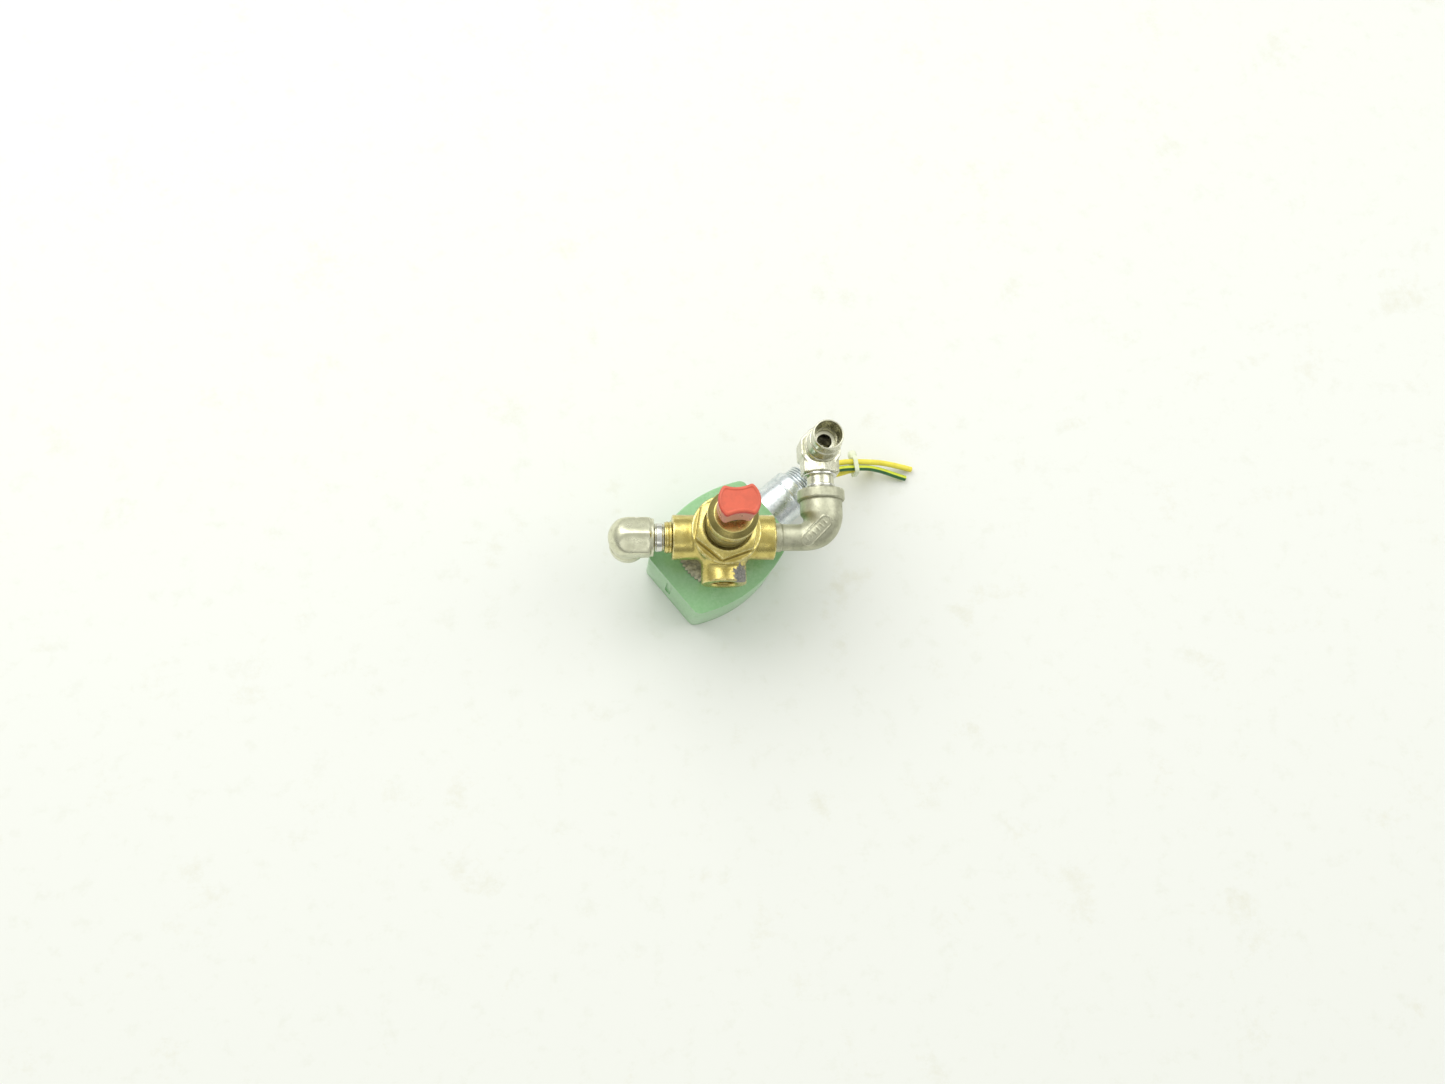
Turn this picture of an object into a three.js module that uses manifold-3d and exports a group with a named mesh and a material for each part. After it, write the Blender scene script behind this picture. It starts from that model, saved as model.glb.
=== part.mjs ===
// A three way solenoid valve that stands on the flat outer face of its coil housing.
// Millimetres. +Z is the valve's axis, up from that face to the manual knob. +X is the side of
// the street elbow and -Y the side of the open port. The origin is on the axis, in that face.
import * as THREE from "three";
import { mergeVertices } from "three/addons/utils/BufferGeometryUtils.js";
import Module from "manifold-3d";

// Clearances and mesh fineness
const GAP = 0.3;
const CUT_PAST = 1;
const ROUND_STEPS = 32;
const SMALL_STEPS = 20;
const ARC_STEPS = 6;
const RING_SIDES = 8;
const SPRING_SIDES = 5;
const SPRING_STEPS_PER_TURN = 10;
const WELD = 1e-4;
const HEXAGON = 6;
const OCTAGON = 8;
const FLAT_UP = Math.PI / OCTAGON;
const CORNER_UP = Math.PI / 2;

// Coil housing: flat ends, bulged sides, a recess in the face it stands on
const HOUSING_LENGTH = 58.4;
const HOUSING_END_WIDTH = 35;
const HOUSING_BULGE = 7.6;
const HOUSING_OFFSET = 0.6;
const HOUSING_HEIGHT = 35.5;
const HOUSING_CORNER = 2.4;
const HOUSING_WALL = 3;
const CLIP_RECESS_RADIUS = 10.5;
const CLIP_RECESS_DEPTH = 3.5;
const END_SLOT_WIDTH = 3.6;
const END_SLOT_HEIGHT = 19;
const END_SLOT_DEPTH = 0.9;
const END_SLOT_AT = 1.75;
const END_SLOT_BOTTOM = 10.5;
const HUB_BEARING = THREE.MathUtils.degToRad(39.5);

// Conduit hub and the pieces that hold it in the housing's end wall
const HUB_RADIUS = 11.2;
const HUB_THREAD_RADIUS = 9.3;
const HUB_BORE_RADIUS = 7.2;
const HUB_SHANK_RADIUS = 8.8;
const HUB_BODY_LENGTH = 20;
const HUB_THREAD_LENGTH = 7;
const HUB_CHAMFER = 1;
const HUB_GASKET_THICKNESS = 0.8;
const HUB_HEIGHT = 17.8;
const LOCKNUT_RADIUS = 10.6;
const LOCKNUT_THICKNESS = 2.6;

// Core tube, cores and coil
const SLEEVE_RADIUS = 6;
const SLEEVE_WALL = 0.65;
const SLEEVE_COLLAR_LEDGE = 0.8;
const SLEEVE_COLLAR_THICKNESS = 1;
const FIXED_CORE_LENGTH = 11.5;
const FIXED_CORE_NECK_RADIUS = 3.2;
const CLIP_GROOVE_RADIUS = 2.4;
const CLIP_RADIUS = 9.5;
const CLIP_THICKNESS = 0.7;
const CLIP_INSET = 0.35;
const CORE_STROKE = 1.6;
const CORE_SPRING_DEPTH = 9;
const CORE_SPRING_RADIUS = 1.9;
const CORE_SPRING_WIRE = 0.35;
const CORE_SPRING_TURNS = 6;
const YOKE_PLATE = 2.4;
const YOKE_WIDTH = 26;
const YOKE_REACH = 14;
const YOKE_WEB_INSIDE = 16.6;
const BOBBIN_WALL = 0.9;
const BOBBIN_FLANGE_RADIUS = 15.2;
const BOBBIN_FLANGE = 1.2;
const WINDING_RADIUS = 14.2;

// Serrated washer and the base that joins the tube to the valve body
const SERRATED_RADIUS = 20.2;
const SERRATED_TOOTH = 0.9;
const SERRATED_TEETH = 60;
const SERRATED_WORN_RADIUS = 15.2;
const SERRATED_WHOLE_BEARING = THREE.MathUtils.degToRad(221);
const SERRATED_WHOLE_HALF_ANGLE = THREE.MathUtils.degToRad(29);
const SERRATED_THICKNESS = 1.4;
const BASE_FLANGE_RADIUS = 14;
const BASE_FLANGE = 2.7;
const BASE_SPIGOT = 4.1;
const GASKET_THICKNESS = 0.7;

// Valve body: an upright barrel with three bored bosses
const PORT_RISE = 11;
const BARREL_RADIUS = 14.2;
const BARREL_HEIGHT = 24.5;
const BARREL_ROOT = 1.2;
const BOSS_RADIUS = 10.2;
const BOSS_CHAMFER = 0.6;
const SIDE_REACH = 23.2;
const FRONT_REACH = 21.5;
const PORT_RADIUS = 5.65;
const SIDE_PORT_WALL = 4;
const SPIGOT_WALL = 0.6;
const SEAT_LEDGE = 0.8;
const CHAMBER_HEIGHT = 6.4;
const CHAMBER_LIFT = 1;
const DRILLING_RADIUS = 1.2;

// Seats, stem and seals
const SEAT_HEIGHT = 2.8;
const SEAT_LIP = 0.6;
const SEAT_LIP_WIDTH = 0.9;
const ORIFICE_RADIUS = 2.8;
const STEM_RADIUS = 1.4;
const HOLDER_RADIUS = 5.4;
const DISC_RADIUS = 4.8;
const DISC_THICKNESS = 0.9;
const SPRING_SEAT_RADIUS = 3;
const SPRING_SEAT_THICKNESS = 0.8;
const SPRING_SEAT_LIFT = 2.2;
const STEM_TIP = 1.2;
const RETURN_SPRING_RADIUS = 2.5;
const RETURN_SPRING_WIRE = 0.3;
const RETURN_SPRING_TURNS = 5;

// Hexagon bonnet
const BONNET_FLANGE_RADIUS = 15.6;
const BONNET_FLANGE = 2.2;
const BONNET_CORNER_RADIUS = 14.8;
const BONNET_BEARING = THREE.MathUtils.degToRad(80);
const BONNET_HEX_HEIGHT = 6.7;
const BONNET_RECESS_RADIUS = 10.8;
const BONNET_RECESS_DEPTH = 4;
const BONNET_BORE_RADIUS = 5.2;
const BONNET_SPIGOT = 4.2;
const BONNET_CHAMFER_DROP = 1.6;

// Turret, its O-ring and the manual pin
const TURRET_RADIUS = 9.8;
const TURRET_HEAD_RADIUS = 10.8;
const TURRET_FACE_RADIUS = 8.2;
const TURRET_HEIGHT = 27.2;
const TURRET_BEVEL = 2;
const TURRET_HEAD = 5.6;
const TURRET_GROOVE_RADIUS = 7.8;
const TURRET_GROOVE_WIDTH = 3;
const TURRET_SHANK = 6.5;
const TURRET_SPRING_BORE = 3.5;
const TURRET_SPRING_POCKET = 3.2;
const TURRET_MOUTH_RADIUS = 3.6;
const TURRET_MOUTH_DEPTH = 7.5;
const ORING_SECTION = 1.15;
const PIN_RADIUS = 1.5;
const PIN_COLLAR_RADIUS = 2.9;
const PIN_COLLAR_TOP = 1.5;
const PIN_NECK_RADIUS = 2.2;
const PIN_TRAVEL = 2;
const PIN_HEAD_LENGTH = 5.5;

// Winged knob
const KNOB_GAP_ABOVE_TURRET = 7.8;
const KNOB_SKIRT_RADIUS = 8;
const KNOB_SKIRT_TOP_RADIUS = 8.4;
const KNOB_SKIRT_HEIGHT = 12;
const KNOB_SKIRT_WALL = 1.3;
const KNOB_BOSS_RADIUS = 3.4;
const KNOB_ROOF = 1.6;
const KNOB_PLATE_RADIUS = 8.7;
const KNOB_PLATE_HALF_WIDTH = 6.6;
const KNOB_WAIST = 1.3;
const KNOB_PLATE_THICKNESS = 3.4;
const KNOB_TURN = THREE.MathUtils.degToRad(4.5);

// Left port: adaptor, nipple and elbow
const ADAPTOR_RADIUS = 7.2;
const ADAPTOR_COLLAR = 3.1;
const SHANK_DEPTH = 8;
const ADAPTOR_BORE = 4.3;
const NIPPLE_RADIUS = 6.55;
const NIPPLE_SHOULDER = 4.1;
const NIPPLE_BORE = 2.6;
const NIPPLE_SPIGOT = 5;
const LEFT_ELBOW_REACH = 11.4;
const LEFT_ELBOW_CORNER_RADIUS = 10;
const LEFT_ELBOW_COLLAR_RADIUS = 8.6;
const LEFT_ELBOW_COLLAR = 1.9;
const LEFT_LEG_RADIUS = 8.3;
const LEFT_LEG_DROP = 16.5;
const LEFT_BEAD_RADIUS = 8.6;
const LEFT_BEAD_HEIGHT = 6;
const LEFT_MOUTH_RADIUS = 5.6;
const LEFT_MOUTH_DEPTH = 12;
const LEFT_PASSAGE_RADIUS = 3.6;

// Right port: street elbow
const STREET_COLLAR_RADIUS = 6.6;
const STREET_COLLAR = 3;
const STREET_LEG_RADIUS = 6.1;
const STREET_REACH = 45.6;
const STREET_BEND = 11;
const STREET_FEMALE_RADIUS = 9.7;
const STREET_BAND_RADIUS = 10.9;
const STREET_BAND_WIDTH = 5;
const STREET_RISE = 21.9;
const STREET_SOCKET_RADIUS = 7;
const STREET_SOCKET_DEPTH = 11;
const STREET_PASSAGE_RADIUS = 3.6;

// Tube-socket elbow screwed into the street elbow
const TUBE_NIPPLE = 7.4;
const TUBE_NIPPLE_RADIUS = 6.15;
const TUBE_THREAD_LEFT = 2.3;
const TUBE_SHANK_DEPTH = 9;
const TUBE_COLLAR_RADIUS = 7.6;
const TUBE_COLLAR = 1.2;
const TUBE_FORGING_CORNER_RADIUS = 9.6;
const TUBE_BODY_CORNER_RADIUS = 10;
const TUBE_REACH = 19.3;
const TUBE_BODY_BELOW = 8.5;
const TUBE_BODY_ABOVE = 5.5;
const TUBE_SHOULDER_RADIUS = 8.3;
const TUBE_SHOULDER = 5;
const TUBE_BARREL_RADIUS = 7.6;
const TUBE_BARREL = 8;
const TUBE_SOCKET_RADIUS = 7.15;
const TUBE_SOCKET_HEIGHT = 6.5;
const TUBE_MOUTH_RADIUS = 6.2;
const TUBE_MOUTH_DEPTH = 6.5;
const TUBE_SEAT_RADIUS = 5;
const TUBE_SEAT_DEPTH = 11;
const TUBE_PASSAGE_RADIUS = 3.4;

// Lead wires and their cable tie
const WIRE_RADIUS = 1.4;
const WIRE_SIDES = 8;
const WIRE_STEPS = 30;
const TIE_STRAP_WIDTH = 2.2;
const TIE_STRAP_THICKNESS = 1;
const TIE_HEAD = 4.6;
const TIE_AT = new THREE.Vector3(70.5, 45.1, 12.3);
const TIE_HEADING = THREE.MathUtils.degToRad(8);
const TIE_HALF_SPAN = 3.6;
const TIE_HALF_HEIGHT = 4.3;

// Heights that follow from the sizes above
const HOUSING_FLOOR = CLIP_RECESS_DEPTH + HOUSING_WALL;
const HOUSING_CEILING = HOUSING_HEIGHT - HOUSING_WALL;
const YOKE_BOTTOM = HOUSING_FLOOR + GAP;
const YOKE_TOP = HOUSING_CEILING - GAP;
const BOBBIN_BOTTOM = YOKE_BOTTOM + YOKE_PLATE + GAP;
const BOBBIN_TOP = YOKE_TOP - YOKE_PLATE - GAP;
const SERRATED_BOTTOM = HOUSING_HEIGHT + GAP;
const BASE_BOTTOM = SERRATED_BOTTOM + SERRATED_THICKNESS + GAP;
const BASE_FLANGE_TOP = BASE_BOTTOM + BASE_FLANGE;
const BODY_BOTTOM = BASE_FLANGE_TOP + GAP + GASKET_THICKNESS + GAP;
const BASE_TOP = BODY_BOTTOM + BASE_SPIGOT;
const BODY_TOP = BODY_BOTTOM + BARREL_HEIGHT;
const PORT_HEIGHT = BODY_BOTTOM + PORT_RISE;
const CHAMBER_BOTTOM = PORT_HEIGHT + CHAMBER_LIFT - CHAMBER_HEIGHT / 2;
const CHAMBER_TOP = CHAMBER_BOTTOM + CHAMBER_HEIGHT;
const LOWER_SEAT_TOP = CHAMBER_BOTTOM - GAP;
const LOWER_SEAT_BOTTOM = LOWER_SEAT_TOP - SEAT_HEIGHT;
const UPPER_SEAT_BOTTOM = CHAMBER_TOP + GAP;
const UPPER_SEAT_TOP = UPPER_SEAT_BOTTOM + SEAT_HEIGHT;
const BONNET_FLANGE_BOTTOM = BODY_TOP + GAP + GASKET_THICKNESS + GAP;
const BONNET_BOTTOM = BODY_TOP - BONNET_SPIGOT;
const BONNET_HEX_BOTTOM = BONNET_FLANGE_BOTTOM + BONNET_FLANGE;
const BONNET_TOP = BONNET_HEX_BOTTOM + BONNET_HEX_HEIGHT;
const TURRET_SEAT = BONNET_TOP - BONNET_RECESS_DEPTH + GAP;
const TURRET_BOTTOM = TURRET_SEAT - TURRET_SHANK;
const TURRET_TOP = TURRET_SEAT + TURRET_HEIGHT;
const SLEEVE_BORE_RADIUS = SLEEVE_RADIUS - SLEEVE_WALL;
const CORE_RADIUS = SLEEVE_BORE_RADIUS - GAP;
const SLEEVE_CLEAR_RADIUS = SLEEVE_RADIUS + GAP;
const SLEEVE_COLLAR_RADIUS = SLEEVE_RADIUS + SLEEVE_COLLAR_LEDGE;
const INSERT_BORE_RADIUS = SLEEVE_COLLAR_RADIUS + GAP + SPIGOT_WALL + GAP;
const CHAMBER_RADIUS = INSERT_BORE_RADIUS - SEAT_LEDGE;
const SIDE_PORT_STOP = INSERT_BORE_RADIUS + SIDE_PORT_WALL;
const SLEEVE_BOTTOM = CLIP_RECESS_DEPTH + GAP;
const SLEEVE_TOP = BASE_TOP - GAP;
const FIXED_CORE_TOP = SLEEVE_BOTTOM + FIXED_CORE_LENGTH;
const MOVING_CORE_BOTTOM = FIXED_CORE_TOP + CORE_STROKE + GAP;
const SPIGOT_RADIUS = INSERT_BORE_RADIUS - GAP;
const DISC_TOP = UPPER_SEAT_BOTTOM - GAP;
const DISC_BOTTOM = LOWER_SEAT_TOP + CORE_STROKE + GAP;
const STEM_BOTTOM = BASE_BOTTOM + BASE_FLANGE;
const MOVING_CORE_TOP = STEM_BOTTOM - GAP;
const SPRING_SEAT_BOTTOM = UPPER_SEAT_TOP + SPRING_SEAT_LIFT;
const SPRING_SEAT_TOP = SPRING_SEAT_BOTTOM + SPRING_SEAT_THICKNESS;
const STEM_TOP = SPRING_SEAT_TOP + STEM_TIP;
const RETURN_SPRING_BOTTOM = SPRING_SEAT_TOP + GAP;
const TURRET_POCKET_TOP = TURRET_BOTTOM + TURRET_SPRING_POCKET;
const RETURN_SPRING_TOP = TURRET_POCKET_TOP - GAP;
const TURRET_MOUTH_FLOOR = TURRET_TOP - TURRET_MOUTH_DEPTH;
const KNOB_BOTTOM = TURRET_TOP + KNOB_GAP_ABOVE_TURRET;
const PLATE_BOTTOM = KNOB_BOTTOM + KNOB_SKIRT_HEIGHT;
const KNOB_TOP = PLATE_BOTTOM + KNOB_PLATE_THICKNESS;
const HUB_START = HOUSING_LENGTH / 2 + GAP + HUB_GASKET_THICKNESS + GAP;
const HUB_THREAD_START = HUB_START + HUB_BODY_LENGTH;
const HUB_END = HUB_THREAD_START + HUB_THREAD_LENGTH;
const CAVITY_LENGTH = HOUSING_LENGTH - 2 * HOUSING_WALL;
const CAVITY_END_WIDTH = HOUSING_END_WIDTH - 2 * HOUSING_WALL;
const LEFT_COLLAR_START = SIDE_REACH + GAP;
const NIPPLE_START = LEFT_COLLAR_START + ADAPTOR_COLLAR + GAP;
const LEFT_ELBOW_START = NIPPLE_START + NIPPLE_SHOULDER + GAP;
const LEFT_LEG_AT = LEFT_ELBOW_START + LEFT_ELBOW_REACH;
const LEFT_MOUTH_HEIGHT = PORT_HEIGHT - LEFT_LEG_DROP;
const THREAD_RADIUS = PORT_RADIUS - GAP;
const STREET_START = SIDE_REACH + GAP;
const TUBE_START = STREET_RISE + GAP;
const TUBE_SHANK_RADIUS = STREET_SOCKET_RADIUS - GAP;
const TUBE_BODY_START = TUBE_START + TUBE_NIPPLE;
const TUBE_AXIS_AT = TUBE_START + TUBE_REACH;
const TUBE_BODY_TOP = PORT_HEIGHT + TUBE_BODY_ABOVE;
const TUBE_BARREL_BOTTOM = TUBE_BODY_TOP + TUBE_SHOULDER;
const TUBE_SOCKET_BOTTOM = TUBE_BARREL_BOTTOM + TUBE_BARREL;
const TUBE_MOUTH_HEIGHT = TUBE_SOCKET_BOTTOM + TUBE_SOCKET_HEIGHT;

const wasm = await Module();
wasm.setup();

// The closed solid that a three.js geometry bounds, for joins and cuts.
function solidOf(geometry) {
  const loose = geometry.index ? geometry.toNonIndexed() : geometry;
  const bare = new THREE.BufferGeometry();
  bare.setAttribute("position", loose.getAttribute("position"));
  const welded = mergeVertices(bare, WELD);
  const vertProperties = welded.attributes.position.array;
  const triVerts = new Uint32Array(welded.index.array);
  return new wasm.Manifold(new wasm.Mesh({ numProp: 3, vertProperties, triVerts }));
}

function geometryOf(body) {
  const mesh = body.getMesh();
  const geometry = new THREE.BufferGeometry();
  geometry.setAttribute("position", new THREE.BufferAttribute(mesh.vertProperties, mesh.numProp));
  geometry.setIndex(new THREE.BufferAttribute(mesh.triVerts, 1));
  const flat = geometry.toNonIndexed();
  flat.computeVertexNormals();
  return flat;
}

function joined(bodies) {
  return bodies.reduce((whole, next) => whole.add(next));
}

function cut(body, cutters) {
  return cutters.reduce((rest, cutter) => rest.subtract(cutter), body);
}

// A solid of revolution about Z. The outline is [radius, height] pairs, up the outside.
function turned(outline, steps = ROUND_STEPS) {
  const points = outline.map(([radius, height]) => new THREE.Vector2(radius, height));
  return solidOf(new THREE.LatheGeometry(points, steps).rotateX(Math.PI / 2));
}

// A bar of revolution: [radius, height] pairs that both ends close on the axis.
function bar(outline, steps = ROUND_STEPS) {
  const bottom = outline[0][1];
  const top = outline[outline.length - 1][1];
  return turned([[0, bottom], ...outline, [0, top]], steps);
}

function rod(radius, bottom, top, steps = ROUND_STEPS) {
  return bar([[radius, bottom], [radius, top]], steps);
}

// A ring of revolution: the outside's [radius, height] pairs around one straight bore.
function ring(outline, bore, steps = ROUND_STEPS) {
  const bottom = outline[0][1];
  const top = outline[outline.length - 1][1];
  return turned([[bore, top], [bore, bottom], ...outline, [bore, top]], steps);
}

function tube(radius, bore, bottom, top, steps = ROUND_STEPS) {
  return ring([[radius, bottom], [radius, top]], bore, steps);
}

// The housing's outline: two flat ends, and two sides that bulge between rounded corners.
function housingShape(length, endWidth, bulge, corner) {
  const half = length / 2;
  const end = endWidth / 2;
  const sideStart = end + (2 * bulge * corner) / half;
  const sidePull = end + 2 * bulge - corner / 2;
  const shape = new THREE.Shape();
  shape.moveTo(half, -end + corner);
  shape.lineTo(half, end - corner);
  shape.quadraticCurveTo(half, end, half - corner, sideStart);
  shape.quadraticCurveTo(0, sidePull, -half + corner, sideStart);
  shape.quadraticCurveTo(-half, end, -half, end - corner);
  shape.lineTo(-half, -end + corner);
  shape.quadraticCurveTo(-half, -end, -half + corner, -sideStart);
  shape.quadraticCurveTo(0, -sidePull, half - corner, -sideStart);
  shape.quadraticCurveTo(half, -end, half, -end + corner);
  return shape;
}

function extruded(shape, bottom, top, curveSegments = SMALL_STEPS / 2) {
  const options = { depth: top - bottom, bevelEnabled: false, curveSegments };
  return solidOf(new THREE.ExtrudeGeometry(shape, options).translate(0, 0, bottom));
}

// An upright prism with flats, its first corner at the given bearing.
function prism(sides, cornerRadius, bottom, top, bearing = 0) {
  const shape = new THREE.Shape();
  for (let side = 0; side < sides; side += 1) {
    const angle = bearing + (2 * Math.PI * side) / sides;
    const x = cornerRadius * Math.cos(angle);
    const y = cornerRadius * Math.sin(angle);
    if (side === 0) shape.moveTo(x, y);
    else shape.lineTo(x, y);
  }
  return extruded(shape, bottom, top);
}

function block(xs, ys, zs) {
  const box = new THREE.BoxGeometry(xs[1] - xs[0], ys[1] - ys[0], zs[1] - zs[0]);
  box.translate((xs[0] + xs[1]) / 2, (ys[0] + ys[1]) / 2, (zs[0] + zs[1]) / 2);
  return solidOf(box);
}

// Turns an upright solid so that its +Z lies along +X, -X, +Y or -Y at the given height.
function alongX(body, height) {
  return body.rotate([0, 90, 0]).translate([0, 0, height]);
}

function alongMinusX(body, height) {
  return body.rotate([0, -90, 0]).translate([0, 0, height]);
}

function alongY(body, height) {
  return body.rotate([-90, 0, 0]).translate([0, 0, height]);
}

function alongMinusY(body, height) {
  return body.rotate([90, 0, 0]).translate([0, 0, height]);
}

// Lays an upright solid on the conduit hub's axis, in the housing's frame.
function alongHub(body) {
  return alongX(body, HUB_HEIGHT).translate([0, -HOUSING_OFFSET, 0]);
}

// A straight drilling between two points.
function drilling(from, to, radius) {
  const start = new THREE.Vector3(...from);
  const way = new THREE.Vector3(...to).sub(start);
  const geometry = new THREE.CylinderGeometry(radius, radius, way.length(), SMALL_STEPS / 2);
  geometry.translate(0, way.length() / 2, 0);
  const upright = new THREE.Vector3(0, 1, 0);
  geometry.applyQuaternion(new THREE.Quaternion().setFromUnitVectors(upright, way.clone().normalize()));
  geometry.translate(start.x, start.y, start.z);
  return solidOf(geometry);
}

// A round bar along a curve, its radius eased from one end to the other.
function tapered(curve, startRadius, endRadius, along, around) {
  const frames = curve.computeFrenetFrames(along);
  const vertices = [];
  const faces = [];
  for (let step = 0; step <= along; step += 1) {
    const t = step / along;
    const centre = curve.getPointAt(t);
    const radius = THREE.MathUtils.lerp(startRadius, endRadius, THREE.MathUtils.smoothstep(t, 0, 1));
    for (let spoke = 0; spoke < around; spoke += 1) {
      const angle = (2 * Math.PI * spoke) / around;
      const point = centre
        .clone()
        .addScaledVector(frames.normals[step], radius * Math.cos(angle))
        .addScaledVector(frames.binormals[step], radius * Math.sin(angle));
      vertices.push(point.x, point.y, point.z);
    }
  }
  for (let step = 0; step < along; step += 1) {
    for (let spoke = 0; spoke < around; spoke += 1) {
      const a = step * around + spoke;
      const b = step * around + ((spoke + 1) % around);
      faces.push(a, b, a + around, b, b + around, a + around);
    }
  }
  const last = along * around;
  for (let spoke = 1; spoke < around - 1; spoke += 1) {
    faces.push(0, spoke + 1, spoke, last, last + spoke, last + spoke + 1);
  }
  const geometry = new THREE.BufferGeometry();
  geometry.setAttribute("position", new THREE.Float32BufferAttribute(vertices, 3));
  geometry.setIndex(faces);
  return solidOf(geometry);
}

function roundSection(radius, sides) {
  const points = [];
  for (let side = 0; side < sides; side += 1) {
    const angle = (2 * Math.PI * side) / sides;
    points.push(new THREE.Vector2(radius * Math.cos(angle), radius * Math.sin(angle)));
  }
  return new THREE.Shape(points);
}

function spring(radius, wire, bottom, top, turns) {
  const points = [];
  const steps = turns * SPRING_STEPS_PER_TURN;
  for (let step = 0; step <= steps; step += 1) {
    const angle = (2 * Math.PI * step) / SPRING_STEPS_PER_TURN;
    const height = THREE.MathUtils.lerp(bottom + wire, top - wire, step / steps);
    points.push(new THREE.Vector3(radius * Math.cos(angle), radius * Math.sin(angle), height));
  }
  const extrudePath = new THREE.CatmullRomCurve3(points);
  const options = { steps, extrudePath, bevelEnabled: false };
  return solidOf(new THREE.ExtrudeGeometry(roundSection(wire, SPRING_SIDES), options));
}

// --- Solenoid, in the housing's own frame: +X toward the conduit hub ---

// A shallow upright slot with round ends in the end wall away from the hub.
function endSlot() {
  const half = END_SLOT_WIDTH / 2;
  const ends = [END_SLOT_BOTTOM + half, END_SLOT_BOTTOM + END_SLOT_HEIGHT - half];
  const start = HOUSING_LENGTH / 2 - END_SLOT_DEPTH;
  const past = HOUSING_LENGTH / 2 + CUT_PAST;
  const rounds = ends.map((height) => alongMinusX(rod(half, start, past, SMALL_STEPS), height));
  const middle = block([-past, -start], [-half, half], ends);
  return joined([middle, ...rounds]).translate([0, END_SLOT_AT, 0]);
}

function coilHousing() {
  const shell = extruded(
    housingShape(HOUSING_LENGTH, HOUSING_END_WIDTH, HOUSING_BULGE, HOUSING_CORNER), 0, HOUSING_HEIGHT);
  const cavity = extruded(
    housingShape(CAVITY_LENGTH, CAVITY_END_WIDTH, HOUSING_BULGE, HOUSING_CORNER),
    HOUSING_FLOOR, HOUSING_CEILING);
  const bore = rod(SLEEVE_CLEAR_RADIUS, -CUT_PAST, HOUSING_HEIGHT + CUT_PAST);
  const recess = rod(CLIP_RECESS_RADIUS, -CUT_PAST, CLIP_RECESS_DEPTH);
  const hubHole = alongHub(
    rod(HUB_SHANK_RADIUS + GAP, CAVITY_LENGTH / 2 - CUT_PAST, HOUSING_LENGTH / 2 + CUT_PAST));
  const offAxis = [0, -HOUSING_OFFSET, 0];
  const slot = endSlot().translate(offAxis);
  return cut(shell.translate(offAxis), [cavity.translate(offAxis), bore, recess, hubHole, slot]);
}

function fluxYoke() {
  const web = -YOKE_WEB_INSIDE - YOKE_PLATE;
  const half = YOKE_WIDTH / 2;
  const frame = block([web, YOKE_REACH], [-half, half], [YOKE_BOTTOM, YOKE_TOP]);
  const window = block(
    [-YOKE_WEB_INSIDE, YOKE_REACH + CUT_PAST], [-half - CUT_PAST, half + CUT_PAST],
    [YOKE_BOTTOM + YOKE_PLATE, YOKE_TOP - YOKE_PLATE]);
  const bore = rod(SLEEVE_CLEAR_RADIUS, YOKE_BOTTOM - CUT_PAST, YOKE_TOP + CUT_PAST);
  return cut(frame, [window, bore]);
}

function coilBobbin() {
  const hub = SLEEVE_CLEAR_RADIUS + BOBBIN_WALL;
  return ring(
    [
      [BOBBIN_FLANGE_RADIUS, BOBBIN_BOTTOM],
      [BOBBIN_FLANGE_RADIUS, BOBBIN_BOTTOM + BOBBIN_FLANGE],
      [hub, BOBBIN_BOTTOM + BOBBIN_FLANGE],
      [hub, BOBBIN_TOP - BOBBIN_FLANGE],
      [BOBBIN_FLANGE_RADIUS, BOBBIN_TOP - BOBBIN_FLANGE],
      [BOBBIN_FLANGE_RADIUS, BOBBIN_TOP],
    ],
    SLEEVE_CLEAR_RADIUS);
}

function coilWinding() {
  const bore = SLEEVE_CLEAR_RADIUS + BOBBIN_WALL + GAP;
  return tube(
    WINDING_RADIUS, bore, BOBBIN_BOTTOM + BOBBIN_FLANGE + GAP, BOBBIN_TOP - BOBBIN_FLANGE - GAP);
}

function conduitHub() {
  const shankStart = CAVITY_LENGTH / 2 - GAP - LOCKNUT_THICKNESS;
  const hub = ring(
    [
      [HUB_SHANK_RADIUS, shankStart],
      [HUB_SHANK_RADIUS, HUB_START],
      [HUB_RADIUS, HUB_START],
      [HUB_RADIUS, HUB_THREAD_START - HUB_CHAMFER],
      [HUB_THREAD_RADIUS, HUB_THREAD_START],
      [HUB_THREAD_RADIUS, HUB_END - HUB_CHAMFER],
      [HUB_THREAD_RADIUS - HUB_CHAMFER, HUB_END],
    ],
    HUB_BORE_RADIUS);
  return alongHub(hub);
}

function hubGasket() {
  const start = HOUSING_LENGTH / 2 + GAP;
  return alongHub(
    tube(HUB_RADIUS - HUB_CHAMFER, HUB_SHANK_RADIUS + GAP, start, start + HUB_GASKET_THICKNESS));
}

function hubLocknut() {
  const end = CAVITY_LENGTH / 2 - GAP;
  const nut = prism(OCTAGON, LOCKNUT_RADIUS, end - LOCKNUT_THICKNESS, end);
  const bore = rod(HUB_SHANK_RADIUS + GAP, end - LOCKNUT_THICKNESS - CUT_PAST, end + CUT_PAST);
  return alongHub(nut.subtract(bore));
}

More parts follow.
